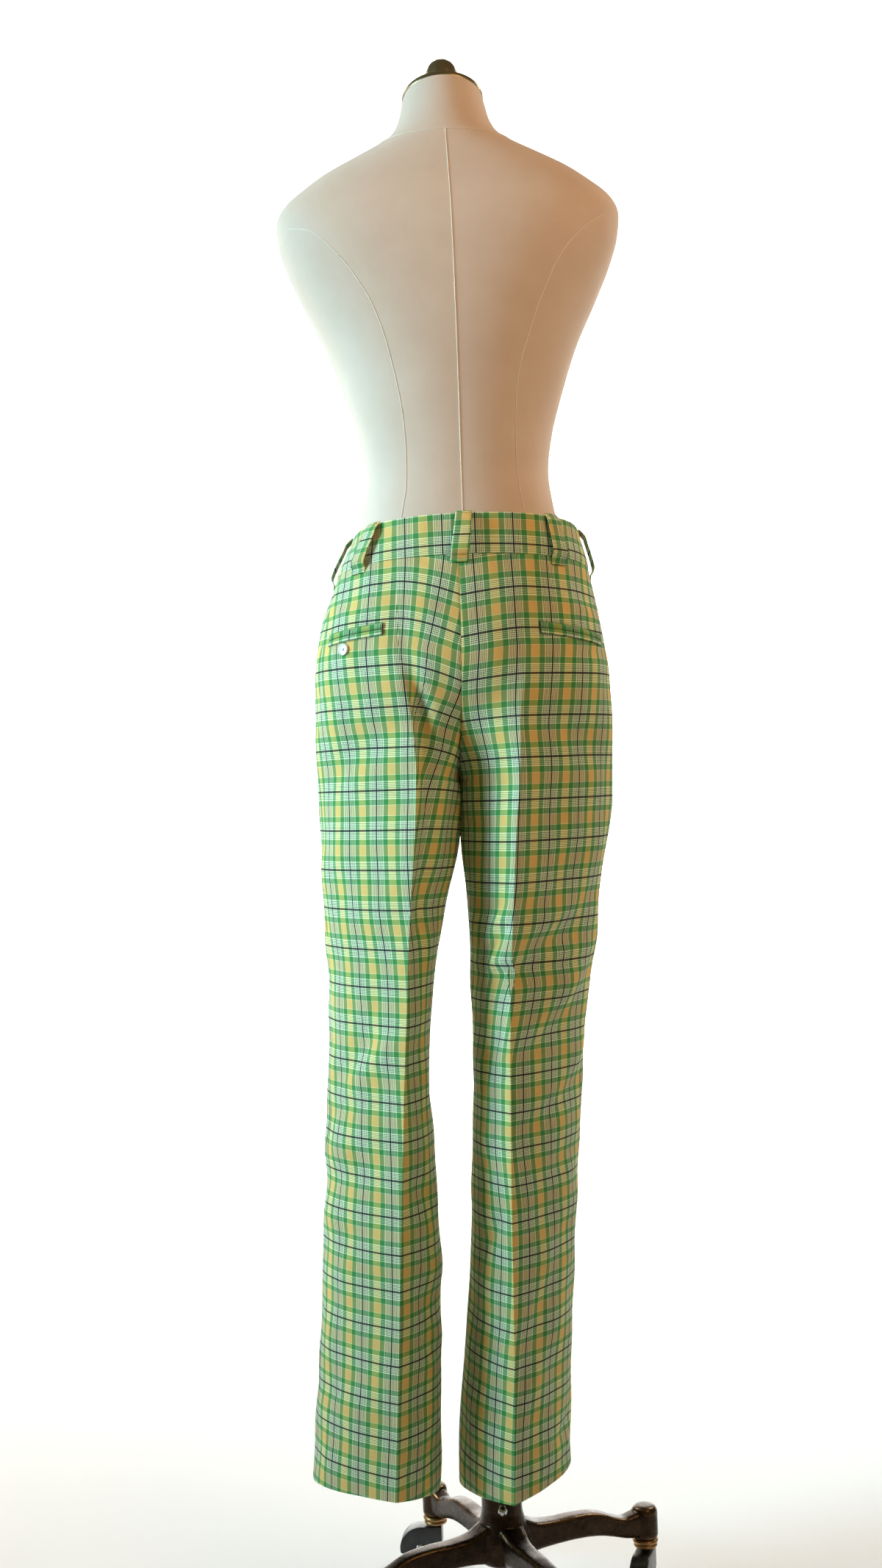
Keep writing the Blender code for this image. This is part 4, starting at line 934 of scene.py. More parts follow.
def sett(dark, dark_width, wide, half):
    """Half a repeat from the middle of the dark line: far edge of each stripe, mm, and yarn."""
    stripes = [(dark_width, dark)]
    for _ in range(FINE_PAIRS):
        stripes.append((stripes[-1][0] + FINE_YARN, CREAM_YARN))
        stripes.append((stripes[-1][0] + FINE_YARN, PINE_YARN))
    band = ((1.5 * LIGHT_LINE, CREAM_YARN), (GREEN_BAND, GREEN_YARN), (LIGHT_LINE / 2, CREAM_YARN))
    for width, yarn in band:
        stripes.append((stripes[-1][0] + width, yarn))
    return stripes + [(half, wide)]


WARP_SETT = sett(NAVY_YARN, DARK_WARP, YELLOW_YARN, 20.5)
WEFT_SETT = sett(UMBER_YARN, DARK_WEFT, GOLD_YARN, 22.0)
YARNS_PER_REPEAT = 62


def sett_stops(stripes):
    """Colour stops over half a repeat, from the dark line's middle to the wide band's middle."""
    half = stripes[-1][0]
    starts = [0.0] + [edge / half for edge, _ in stripes[:-1]]
    return [(start, yarn) for start, (_, yarn) in zip(starts, stripes)]


def green_stops(stripes):
    """Stops that are white over the green band and black elsewhere."""
    return [(start, WHITE if yarn is GREEN_YARN else BLACK) for start, yarn in sett_stops(stripes)]


def plaid_cloth(name):
    """Plaid woven of dyed yarns: each yarn's colour, mixed as warp and weft cross."""
    nodes = Nodes(name, roughness=0.82)
    nodes.set("Sheen Weight", 0.04)
    nodes.set("Sheen Roughness", 0.5)
    nodes.set("Specular IOR Level", 0.15)
    grain = nodes.tree.nodes.new("ShaderNodeUVMap")
    grain.uv_map = "Grain"
    split = nodes.tree.nodes.new("ShaderNodeSeparateXYZ")
    nodes.feed(split.inputs[0], grain.outputs[0])
    across, along = split.outputs[0], split.outputs[1]

    def from_dark_line(value):
        folded = nodes.math("PINGPONG", value, 0.5)
        return nodes.math("MULTIPLY", folded, 2.0)

    warp = nodes.ramp(from_dark_line(across), sett_stops(WARP_SETT), "CONSTANT")
    weft = nodes.ramp(from_dark_line(along), sett_stops(WEFT_SETT), "CONSTANT")
    diagonal = nodes.math("ADD", across, along)
    twill = nodes.math("SINE", nodes.math("MULTIPLY", diagonal, 2 * math.pi * YARNS_PER_REPEAT / 2))
    over = nodes.math("MULTIPLY_ADD", twill, 0.16, 0.5)
    woven = nodes.mix(over, warp, weft)
    green_warp = nodes.ramp(from_dark_line(across), green_stops(WARP_SETT), "CONSTANT")
    green_weft = nodes.ramp(from_dark_line(along), green_stops(WEFT_SETT), "CONSTANT")
    green = nodes.math("MAXIMUM", green_warp, green_weft)
    woven = nodes.mix(nodes.math("MULTIPLY", green, GREEN_COVER), woven, GREEN_YARN)
    # Yellow over gold glows, and the dark lines are thicker yarns, which cover what they cross
    warp_wide, weft_wide = (
        nodes.math("GREATER_THAN", from_dark_line(value), stripes[-2][0] / stripes[-1][0])
        for value, stripes in ((across, WARP_SETT), (along, WEFT_SETT))
    )
    both = nodes.math("MULTIPLY", warp_wide, weft_wide)
    woven = nodes.mix(nodes.math("MULTIPLY", both, 0.4), woven, CROSSING)
    warp_dark, weft_dark = (
        nodes.math("LESS_THAN", from_dark_line(value), stripes[0][0] / stripes[-1][0])
        for value, stripes in ((across, WARP_SETT), (along, WEFT_SETT))
    )
    woven = nodes.mix(nodes.math("MULTIPLY", weft_dark, 0.75), woven, UMBER_YARN)
    woven = nodes.mix(nodes.math("MULTIPLY", warp_dark, 0.85), woven, NAVY_YARN)
    place = nodes.object_place()
    slubs = nodes.noise(place, 900.0, 2.0)
    soil = nodes.noise(place, 9.0, 4.0)
    tone = nodes.math("MULTIPLY_ADD", slubs, 0.24, 0.84)
    tone = nodes.math("MULTIPLY", tone, nodes.math("MULTIPLY_ADD", soil, 0.14, 0.96))
    shade = nodes.tree.nodes.new("ShaderNodeCombineColor")
    for socket in shade.inputs:
        nodes.feed(socket, tone)
    nodes.colour(nodes.mix(1.0, woven, shade.outputs[0], "MULTIPLY"))
    weave = nodes.math("ADD", nodes.math("MULTIPLY", twill, 0.5), slubs)
    pucker = nodes.noise(place, 70.0, 3.0)
    soft = nodes.bump(pucker, 0.0012, 0.35)
    nodes.normal(nodes.bump(weave, 0.00012, 0.8, soft))
    return nodes.material


def cover_cloth():
    """The form's jersey cover: warm cream, fine knit, slightly soiled."""
    nodes = Nodes("cream_cover", roughness=0.78)
    nodes.set("Sheen Weight", 0.15)
    nodes.set("Specular IOR Level", 0.3)
    place = nodes.object_place()
    cloud = nodes.noise(place, 7.0, 5.0, 0.6)
    stops = [(0.3, rgb(208, 182, 158)), (0.55, rgb(217, 193, 171)), (0.75, rgb(223, 202, 181))]
    tint = nodes.ramp(cloud, stops)
    speck = nodes.noise(place, 1400.0, 2.0)
    nodes.colour(nodes.mix(nodes.math("MULTIPLY", speck, 0.22), tint, rgb(196, 172, 148)))
    knit = nodes.tree.nodes.new("ShaderNodeTexWave")
    knit.bands_direction = "Z"
    knit.inputs["Scale"].default_value = 330.0
    knit.inputs["Distortion"].default_value = 1.2
    nodes.feed(knit.inputs["Vector"], place)
    soft = nodes.bump(nodes.noise(place, 26.0, 3.0), 0.0015, 0.25)
    nodes.normal(nodes.bump(knit.outputs["Fac"], 0.00008, 0.6, soft))
    return nodes.material


def seam_cord():
    nodes = Nodes("seam_cord", roughness=0.7)
    place = nodes.object_place()
    nodes.colour(nodes.mix(nodes.noise(place, 600.0), rgb(236, 224, 206), rgb(214, 198, 176)))
    nodes.normal(nodes.bump(nodes.noise(place, 1500.0), 0.00015))
    return nodes.material


def edge_worn_metal(name, dark, worn, roughness, metallic, wear=0.62, speckle=60.0):
    """Dark cast metal, rubbed lighter where its edges stand out."""
    nodes = Nodes(name, roughness, metallic)
    place = nodes.object_place()
    edge = nodes.tree.nodes.new("ShaderNodeNewGeometry").outputs["Pointiness"]
    patches = nodes.noise(place, speckle, 5.0, 0.65)
    raised = nodes.math("MULTIPLY_ADD", patches, 0.05, edge)
    share = nodes.ramp(raised, [(0.535, BLACK), (0.60, WHITE)])
    grime = nodes.mix(nodes.ramp(patches, [(0.35, BLACK), (0.7, WHITE)]), dark[0], dark[1])
    nodes.colour(nodes.mix(nodes.math("MULTIPLY", share, wear), grime, worn))
    rough = nodes.math("MULTIPLY_ADD", nodes.noise(place, 150.0, 4.0), 0.22, roughness - 0.1)
    nodes.feed(nodes.shader.inputs["Roughness"], rough)
    pits = nodes.bump(nodes.noise(place, 420.0, 4.0), 0.0004, 0.35)
    nodes.normal(nodes.bump(nodes.noise(place, 45.0, 3.0), 0.0012, 0.25, pits))
    return nodes.material


def bright_metal(name, colour, roughness, scratch=900.0):
    nodes = Nodes(name, roughness, metallic=1.0)
    place = nodes.object_place()
    darker = tuple(c * 0.82 for c in colour[:3]) + (1.0,)
    nodes.colour(nodes.mix(nodes.noise(place, 30.0), colour, darker))
    rough = nodes.math("MULTIPLY_ADD", nodes.noise(place, scratch, 3.0), 0.16, roughness - 0.06)
    nodes.feed(nodes.shader.inputs["Roughness"], rough)
    nodes.normal(nodes.bump(nodes.noise(place, scratch, 3.0), 0.0001, 0.3))
    return nodes.material


def moulded_plastic(name, colour, roughness):
    nodes = Nodes(name, roughness)
    nodes.set("Coat Weight", 0.25)
    nodes.set("Coat Roughness", 0.15)
    place = nodes.object_place()
    dust = nodes.ramp(nodes.noise(place, 90.0, 5.0, 0.7), [(0.45, BLACK), (0.8, WHITE)])
    nodes.colour(nodes.mix(nodes.math("MULTIPLY", dust, 0.12), colour, rgb(120, 112, 100)))
    rough = nodes.math("MULTIPLY_ADD", nodes.noise(place, 240.0, 3.0), 0.2, roughness - 0.05)
    nodes.feed(nodes.shader.inputs["Roughness"], rough)
    nodes.normal(nodes.bump(nodes.noise(place, 1100.0, 2.0), 0.00012, 0.4))
    return nodes.material


def pearl_shell():
    nodes = Nodes("pearl", roughness=0.22)
    nodes.set("Coat Weight", 0.5)
    nodes.set("Coat Roughness", 0.1)
    place = nodes.object_place()
    swirl = nodes.noise(place, 320.0, 3.0, 0.6)
    stops = [(0.3, rgb(196, 200, 190)), (0.5, rgb(218, 216, 206)), (0.7, rgb(204, 196, 198))]
    nodes.colour(nodes.ramp(swirl, stops))
    nodes.normal(nodes.bump(swirl, 0.0001, 0.4))
    return nodes.material


def slit_shade_cloth():
    # Near-black green, painted shade for the slit between the pocket welts, not a cloth of the trousers
    nodes = Nodes("painted_slit_shade", roughness=0.9)
    nodes.colour(nodes.mix(nodes.noise(nodes.object_place(), 700.0), rgb(30, 42, 26), rgb(46, 60, 36)))
    return nodes.material


def sewing_thread():
    nodes = Nodes("sewing_thread", roughness=0.6)
    place = nodes.object_place()
    nodes.colour(nodes.mix(nodes.noise(place, 800.0), rgb(92, 124, 70), rgb(132, 160, 98)))
    nodes.normal(nodes.bump(nodes.noise(place, 2500.0), 0.0001))
    return nodes.material


# Trousers


def clustered(count):
    """Steps from 0 to 1, closer together near both ends."""
    t = np.linspace(0.0, 1.0, count + 1)
    return t - CLUSTERING * np.sin(2 * math.pi * t) / (2 * math.pi)


def hem_height(side, half, across):
    inner, crease, outer = (height * MM for height in HEM[(side, half)])
    near = inner + (crease - inner) * (across / CREASE_AT) ** 2
    far = crease + (outer - crease) * (across - CREASE_AT) / (1 - CREASE_AT)
    return np.where(across < CREASE_AT, near, far)


def panel_heights(side, half, across):
    """Heights of a panel's grid points, a row for each line of cloth from waist to hem."""
    outer_crotch = CROTCH + OUTER_FAN / 2
    above = np.arange(ROWS_ABOVE_SEAT) / ROWS_ABOVE_SEAT
    inner = WAIST_SEAM - SEAM_GAP / 2 + (SEAT_TOP - WAIST_SEAM) * above
    outer = inner
    share = np.arange(ROWS_ROUND_CROTCH + 1) / ROWS_ROUND_CROTCH
    inner = np.append(inner, SEAT_TOP - (SEAT_TOP - CROTCH) * np.sin(share * math.pi / 2) ** 0.9)
    outer = np.append(outer, SEAT_TOP + (outer_crotch - SEAT_TOP) * share)
    fan = smooth_step(0.0, 0.9, across)
    trunk = inner[:, None] + (outer - inner)[:, None] * fan
    down = (np.arange(1, ROWS_DOWN_LEG + 1) / ROWS_DOWN_LEG)[:, None]
    top = CROTCH + (outer_crotch - CROTCH) * fan
    return np.concatenate([trunk, (1 - down) * top + down * hem_height(side, half, across)])


def panel_grain(side, half, across, z, lengths):
    """The cloth's coordinates in repeats: 0 on a dark warp line, whole numbers on weft lines."""
    shift = read_rows(GRAIN[side], GRAIN_COLUMNS, z)["shift"]
    towards_centre = -lengths if half == BACK else lengths
    weft = np.array(WEFT[side])
    drop = read_rows(CHEVRON[side], CHEVRON_COLUMNS, z)["drop"]
    inward = np.clip((CREASE_AT - across) / CREASE_AT, 0.0, 1.0)
    height = z + drop * inward**1.5
    line = np.interp(height / MM, weft[:, 0], weft[:, 1])
    warp = (towards_centre - shift) / WARP_REPEAT
    if (side, half) in LEANING_LINE:
        lean = read_rows(LEANING_LINE[(side, half)], GRAIN_COLUMNS, z)["shift"]
        near = (towards_centre - shift) / np.maximum(lean - shift, MM)
        held_in = np.where(towards_centre < lean, near, 1 + (towards_centre - lean) / WARP_REPEAT)
        warp = np.where(across < CREASE_AT, held_in, warp)
    return np.stack([warp * -side, -line], -1)


def trouser_panel(side, half, cloth):
    across = np.concatenate(
        [clustered(COLUMNS_EACH_SIDE) * CREASE_AT, CREASE_AT + clustered(COLUMNS_EACH_SIDE)[1:] * 0.5]
    )[None, :]
    z = panel_heights(side, half, across)
    across = np.broadcast_to(across, z.shape)
    outer, normals = panel_skin(side, half, across, z)
    lengths = row_lengths(outer, COLUMNS_EACH_SIDE)
    for column, inward in ((0, 1), (-1, -2)):
        shared = unit(normals[:, column] + outward(side, -half, across[:, column], z[:, column]))
        meets = (z[:, column] <= CROTCH) | (column == -1)
        normal = np.where(meets[:, None], shared, normals[:, column])
        normals[:, column] = normal
        ahead = outer[:, inward] - outer[:, column]
        ahead = unit(ahead - normal * np.sum(ahead * normal, -1, keepdims=True))
        gap = np.where(meets, SEAM_GAP / 2, 0.0)[:, None]
        outer[:, column] = outer[:, column] + ahead * gap
    run = row_lengths(outer, 0)
    edge = np.minimum(run, run[:, -1:] - run)
    dip = SEAM_DIP * np.exp(-((edge / SEAM_DIP_WIDTH) ** 2))
    inwards = normals * dip[..., None]
    inwards[..., 0] *= np.where(z > CROTCH, np.clip(4 * across / CREASE_AT, 0.0, 1.0), 1.0)
    outer = outer - inwards
    inner = outer - normals * CLOTH
    grain = panel_grain(side, half, across, z, lengths)
    name = f"{HALF_NAMES[half]}_{SIDE_NAMES[side]}"
    mesh = grid_wall(f"{name}_cloth", outer, inner, grain)
    return place_piece(f"{name}_cloth", mesh, cloth, "form", (name,))


def waistband(side, cloth):
    name = f"waistband_{SIDE_NAMES[side]}"
    z = np.linspace(WAIST_SEAM + SEAM_GAP / 2, WAIST_TOP, BAND_ROWS + 1)[:, None]
    first = centre_turn(side, z)
    last = math.pi - first
    turn = first + (last - first) * np.linspace(0, 1, BAND_COLUMNS + 1)
    lift = np.zeros(turn.shape)
    if side == LEFT:
        radius = read_rows(BODY, BODY_COLUMNS, z)["half"]
        lap = last + BAND_LAP / radius * np.linspace(0, 1, 12)
        turn = np.concatenate([turn, lap[:, 1:]], 1)
        lift = (BAND_CLOTH + SEAM_GAP) * smooth_step(last - 0.16, last - 0.06, turn)
    mirrored = turn > math.pi
    facing = np.where(mirrored, -side, side)
    points, out = band_point(facing, np.where(mirrored, 2 * math.pi - turn, turn), z)
    from_edge = np.minimum(z - z[0], z[-1] - z)
    rolled = 0.45 * BAND_CLOTH * (1 - np.minimum(from_edge / BAND_EDGE, 1.0)) ** 2
    ripple = 0.25 * MM * np.sin(turn * 23.0) * np.sin((z - z[0]) * 60.0)
    lift = lift + BAND_PROUD + ripple
    outer = points + out * (lift - rolled)[..., None]
    inner = points + out * (lift - BAND_CLOTH + rolled)[..., None]
    lengths = row_lengths(outer, 0)
    drop = np.broadcast_to(z - WAIST_SEAM, turn.shape)
    shift = BAND_SHIFT[side]
    grain = np.stack([side * lengths / WARP_REPEAT + shift, drop / WEFT_REPEAT + BAND_WEFT_SHIFT], -1)
    mesh = grid_wall(f"{name}_cloth", outer, inner, grain)
    return place_piece(f"{name}_cloth", mesh, cloth, "form", (name,))


def loop_skin(side, turn, z):
    """What a belt loop lies on: the band above the waist seam, the panel below it."""
    points, out = band_point(side, turn, z)
    proud = np.where(np.asarray(z) > WAIST_SEAM, BAND_PROUD, 0.0)
    return points + out * np.broadcast_to(proud, points.shape[:-1])[..., None], out


def loop_half_turn(side, centre):
    """Half the angle that a belt loop spans, so that it measures LOOP_WIDTH at mid band."""
    middle = (WAIST_SEAM + WAIST_TOP) / 2
    low, high = 0.0, math.radians(20)
    for _ in range(30):
        half_turn = (low + high) / 2
        turns = np.array([centre - half_turn, centre + half_turn])
        points, out = band_point(side, turns, middle)
        ends = points + out * LOOP_STAND_OFF
        if np.linalg.norm(ends[1] - ends[0]) < LOOP_WIDTH:
            low = half_turn
        else:
            high = half_turn
    return low


def belt_loop(number, side, degrees, shift, cloth, thread):
    """A strap sewn down at its foot and its head, standing off the band between."""
    name = f"belt_loop_{number}"
    band = WAIST_TOP - WAIST_SEAM
    path = np.array([
        (band * share + above * MM, LOOP_SEWN_LIFT + (LOOP_STAND_OFF - LOOP_SEWN_LIFT) * out_share)
        for share, above, out_share in LOOP_PATH
    ])
    up = np.unique(np.concatenate([np.linspace(path[0, 0], path[-1, 0], 48), path[:, 0]]))
    lift = np.interp(up, path[:, 0], path[:, 1])
    kernel = np.array([1, 2, 3, 2, 1]) / 9
    softened = np.convolve(np.pad(lift, 2, mode="edge"), kernel, "valid")
    softened[[0, -1]] = lift[[0, -1]]
    centre = math.radians(degrees)
    half_turn = loop_half_turn(side, centre)
    share = np.linspace(-1, 1, LOOP_COLUMNS + 1)
    turn = centre + share * half_turn
    points, out = loop_skin(side, np.broadcast_to(turn, (len(up), len(turn))), WAIST_SEAM + up[:, None])
    near = points + out * softened[:, None, None]
    tangent = unit(np.gradient(near, axis=0))
    face = unit(out - tangent * np.sum(out * tangent, -1, keepdims=True))
    rolled = 0.4 * LOOP_CLOTH * np.clip((np.abs(share) - 0.82) / 0.18, 0, 1) ** 2
    outer = near + face * (LOOP_CLOTH - rolled)[:, None]
    inner = near + face * (rolled * 0.5)[:, None]
    drawn = row_lengths(outer, 0)
    along = np.linalg.norm(np.diff(outer[:, LOOP_COLUMNS // 2], axis=0), axis=-1)
    along = np.append(0.0, np.cumsum(along))[:, None]
    weft = np.broadcast_to(along / WEFT_REPEAT + shift[1], drawn.shape)
    grain = np.stack([side * drawn / WARP_REPEAT + shift[0], weft], -1)
    mesh = grid_wall(f"{name}_cloth", outer, inner, grain)
    place_piece(f"{name}_cloth", mesh, cloth, "form", (name,))
    tacks = []
    spread = np.linspace(0.08, 0.92, TACK_STITCHES)
    columns = np.round(spread * LOOP_COLUMNS).astype(int)
    to_and_fro = TACK_HALF_WIDTH * np.where(np.arange(TACK_STITCHES) % 2, 1, -1)
    for row in (TACK_ROW, len(up) - 1 - TACK_ROW):
        line = outer[row, 0] + (outer[row, -1] - outer[row, 0]) * spread[:, None]
        line = outer[row, columns] * 0.5 + line * 0.5
        zigzag = tangent[row, columns] * to_and_fro[:, None]
        tack = line + zigzag + face[row, columns] * TACK_LIFT
        tacks.append(tube_mesh("tack", tack, TACK_THREAD, 6))
    place_piece(f"{name}_tacks", joined(f"{name}_tacks", tacks), thread, "form")


def pocket_line(pocket, share):
    """Degrees round the hips and heights along a pocket, from its inner end (0) to its outer (1)."""
    degrees = pocket["inner_degrees"] + (pocket["outer_degrees"] - pocket["inner_degrees"]) * share
    return degrees, (pocket["inner_z"] + (pocket["outer_z"] - pocket["inner_z"]) * share) * MM


def pocket_welt(pocket, upper, cloth):
    side = pocket["side"]
    name = f"pocket_{SIDE_NAMES[side]}_{'upper' if upper else 'lower'}_welt"
    middle = (WELT_WIDTH / 2 + SEAM_GAP) * (1 if upper else -1)
    edge = np.linspace(-0.5, 0.5, 9)[:, None]
    share = np.linspace(0, 1, WELT_COLUMNS + 1)[None, :]
    degrees, line = pocket_line(pocket, share)
    z = line + middle + edge * WELT_WIDTH
    points, normals = on_hip(side, BACK, np.broadcast_to(degrees, z.shape), z)
    crown = WELT_CROWN * (1 - (2 * edge) ** 2)
    gape = 0.5 * MM * np.sin(math.pi * share) if side == RIGHT else 0.0 * share
    lift = WELT_LIFT + gape * (0.5 - edge if upper else 0.5 + edge)
    inner = points + normals * lift[..., None]
    outer = points + normals * (lift + WELT_CLOTH * 0.55 + crown * 2.1)[..., None]
    lengths = row_lengths(outer, 0)
    shift = 0.22 if upper else 0.30
    grain = np.stack([lengths / WARP_REPEAT, (z - line) / WEFT_REPEAT + shift], -1)
    mesh = grid_wall(f"{name}_cloth", outer, inner, grain)
    return place_piece(f"{name}_cloth", mesh, cloth, "form", (name,))


def pocket_sewing(pocket, thread):
    """Rows of short stitches along the outer edges of the welts, and a tack at each end."""
    side = pocket["side"]
    stitches = []
    for edge in (-1, 1):
        share = np.linspace(0.0, 1.0, STITCH_STEPS + 1)
        degrees, line = pocket_line(pocket, share)
        points, normals = on_hip(side, BACK, degrees, line + edge * (WELT_WIDTH + 1.1 * MM))
        raised = points + normals * 0.3 * MM
        for i in range(0, STITCH_STEPS, STITCH_POINTS):
            stitches.append(tube_mesh("stitch", raised[i : i + STITCH_POINTS], STITCH_THREAD, 5))
    for end, nudge in (("inner", 0.4), ("outer", -0.4)):
        rise = np.linspace(-1, 1, POCKET_TACK_STITCHES)
        degrees = np.full(POCKET_TACK_STITCHES, pocket[f"{end}_degrees"] + nudge)
        z = pocket[f"{end}_z"] * MM + rise * (WELT_WIDTH + 1.0 * MM)
        degrees = degrees + 0.25 * np.where(np.arange(POCKET_TACK_STITCHES) % 2, 1, -1)
        points, normals = on_hip(side, BACK, degrees, z)
        stitches.append(tube_mesh("tack", points + normals * 1.7 * MM, POCKET_TACK_THREAD, 6))
    name = f"pocket_{SIDE_NAMES[side]}_sewing"
    place_piece(name, joined(name, stitches), thread, "form")


def pocket_slit(pocket, slit_shade):
    """A dark tube along the slit between the two welts: painted shade in the opening between them."""
    share = np.linspace(0.0, 1.0, 61)
    degrees, line = pocket_line(pocket, share)
    points, normals = on_hip(pocket["side"], BACK, degrees, line)
    name = f"pocket_{SIDE_NAMES[pocket['side']]}_slit"
    slit = tube_mesh(name, points + normals * SLIT_LIFT, SLIT_RADIUS, 6)
    place_piece(name, slit, slit_shade, "form")


def fly(cloth):
    """The lap over the front opening, laid on the left front, with a J-shaped outer edge."""
    top = WAIST_SEAM - 5 * SEAM_GAP
    share = np.linspace(0, 1, FLY_ROWS + 1)
    z = top + (FLY_FOOT - top) * share
    width = FLY_WIDTH * np.sqrt(np.maximum(1 - np.maximum((share - 0.6) / 0.42, 0) ** 2, 0.02))
    step = 0.05

    def rate(side):
        near = panel_skin(side, FRONT, np.zeros(len(z)), z)[0]
        far = panel_skin(side, FRONT, np.full(len(z), step), z)[0]
        return np.maximum(np.linalg.norm(far - near, axis=-1) / step, MM)

    def laid_on(side, across):
        return panel_skin(side, FRONT, across, np.broadcast_to(z[:, None], across.shape))

    lap = np.linspace(1, 0.12, 4)[None, :] * (FLY_OVERLAP / rate(RIGHT))[:, None]
    right_points, right_normals = laid_on(RIGHT, lap)
    across = np.linspace(0.02, 1, 24)[None, :] * (width / rate(LEFT))[:, None]
    left_points, left_normals = laid_on(LEFT, across)
    points = np.concatenate([right_points, left_points], 1)
    normals = np.concatenate([right_normals, left_normals], 1)
    inner = points + normals * FLY_LIFT
    outer = points + normals * (FLY_LIFT + CLOTH)
    lengths = row_lengths(outer, 4)
    weft = np.broadcast_to(z[:, None] / WEFT_REPEAT, lengths.shape)
    grain = np.stack([-lengths / WARP_REPEAT, weft], -1)
    mesh = grid_wall("fly_cloth", outer, inner, grain)
    return place_piece("fly_cloth", mesh, cloth, "form", ("fly",))


def sewn_button(name, node, radius, surface, thread):
    """A four-hole button in the place of its node, with its crossed threads."""
    thickness = BUTTON_THICKNESS
    rim = 0.16 * radius
    profile = rounded_profile(
        [
            (0.02 * radius, 0.0), (radius * 0.84, 0.0), (radius, 0.35 * thickness),
            (radius * 0.97, thickness), (radius - rim, thickness), (radius * 0.72, 0.72 * thickness),
            (0.02 * radius, 0.72 * thickness),
        ],
        0.22 * thickness,
    )
    disc = lathe_mesh(name, profile, 48)
    low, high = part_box(node)
    centre = (low + high) / 2 - Vector((POLE_X, 0, 0))
    node_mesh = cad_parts[node].data
    flat = max(node_mesh.polygons, key=lambda face: face.area)
    normal = flat.normal.copy()
    if normal.dot(Vector((centre.x, centre.y, 0))) < 0:
        normal.negate()
    turn = normal.to_track_quat("Z", "Y").to_matrix().to_4x4()
    seat = Matrix.Translation(centre - normal * thickness / 2) @ turn
    disc.transform(seat)
    place_piece(name, disc, surface, "form", (node,))
    hole = radius * 0.24
    threads = []
    height = 0.78 * thickness
    for x, y in ((-hole, -hole), (-hole, hole)):
        path = [
            (x, y, height - 0.5 * MM), (x, y, height), (0, 0, height + 0.35 * MM),
            (-x, -y, height), (-x, -y, height - 0.5 * MM),
        ]
        tube = tube_mesh("thread", path, BUTTON_THREAD, 6)
        tube.transform(seat)
        threads.append(tube)
    place_piece(f"{name}_thread", joined(f"{name}_thread", threads), thread, "form")


def trousers():
    plaid = plaid_cloth("plaid_cloth")
    band = plaid_cloth("band_cloth")
    thread = sewing_thread()
    # Dark material for the pocket slits: painted shade between the welts
    slit_shade = slit_shade_cloth()
    pearl = pearl_shell()
    panels = {
        (side, half): trouser_panel(side, half, plaid) for side in (LEFT, RIGHT) for half in (BACK, FRONT)
    }
    for side in (LEFT, RIGHT):
        waistband(side, band)
    for number, (side, degrees, *shift) in enumerate(LOOPS, 1):
        belt_loop(number, side, degrees, shift, band, thread)
    for row in POCKETS:
        pocket = dict(zip(POCKET_COLUMNS, row))
        pocket_welt(pocket, True, band)
        pocket_welt(pocket, False, band)
        pocket_sewing(pocket, thread)
        # The slit tube is painted shade in the pocket opening
        pocket_slit(pocket, slit_shade)
    fly(plaid)
    sewn_button("pocket_pearl_button", "pocket_button", POCKET_BUTTON_RADIUS, pearl, thread)
    sewn_button("waistband_pearl_button", "waistband_button", WAIST_BUTTON_RADIUS, pearl, thread)
    return panels


# Dress form and stand


def form_points(angle, z):
    """Points of the cover at angles round from +X and at heights z; the neck leans forward."""
    angle, z = np.broadcast_arrays(angle, z)
    ring = read_rows(FORM, FORM_COLUMNS, z)
    power = 2 / (ring["roundness"] / MM)
    lean = math.tan(NECK_TILT) * smooth_step(NECK_TILT_FROM, FORM[-1][0] * MM, z)
    across = np.copysign(np.abs(np.cos(angle)) ** power, np.cos(angle))
    along = np.copysign(np.abs(np.sin(angle)) ** power, np.sin(angle))
    depth = np.where(along > 0, ring["front"], ring["back"]) * along
    x = FORM_X + ring["half"] * across
    return np.stack([x, ring["shift"] + depth, z - lean * depth], -1)


def torso(surface, cord):
    heights = np.array([row[0] for row in FORM]) * MM
    z = np.interp(np.linspace(0, len(heights) - 1, FORM_ROWS + 1), np.arange(len(heights)), heights)
    t = np.arange(FORM_SEGMENTS) * 2 * math.pi / FORM_SEGMENTS
    grid = form_points(t[None, :], z[:, None])
    mesh = mesh_of("torso_cover", grid.reshape(-1, 3), ring_faces(*grid.shape[:2]))
    place_piece("torso_cover", mesh, surface, "form", ("torso",))
    cords = []
    for facing in (-1, 1):
        for name, rows in COVER_SEAMS.items():
            rows = np.array(rows)
            run = np.append(0.0, np.cumsum(np.linalg.norm(np.diff(rows, axis=0), axis=1)))
            along = np.linspace(0.0, run[-1], 160)
            z, x = (curve(run, rows[:, at], along) * MM for at in (0, 1))
            ring = read_rows(FORM, FORM_COLUMNS, z)
            share = np.clip(x / ring["half"], -0.999, 0.999)
            angle = np.arccos(np.copysign(np.abs(share) ** (ring["roundness"] / MM / 2), share))
            cords.append(tube_mesh(name, form_points(facing * angle, z), SEAM_CORD, 8))
    circle = np.linspace(0, 2 * math.pi, 121)[:-1]
    neck = form_points(circle, np.full(len(circle), NECK_SEAM))
    cords.append(tube_mesh("neck", neck, SEAM_CORD, 8, closed=True))
    for side in (0.0, math.pi):
        z = np.linspace(*SIDE_SEAM_ENDS, 120)
        cords.append(tube_mesh("side", form_points(np.full(120, side), z), SEAM_CORD, 8))
    place_piece("cover_seams", joined("cover_seams", cords), cord, "form")


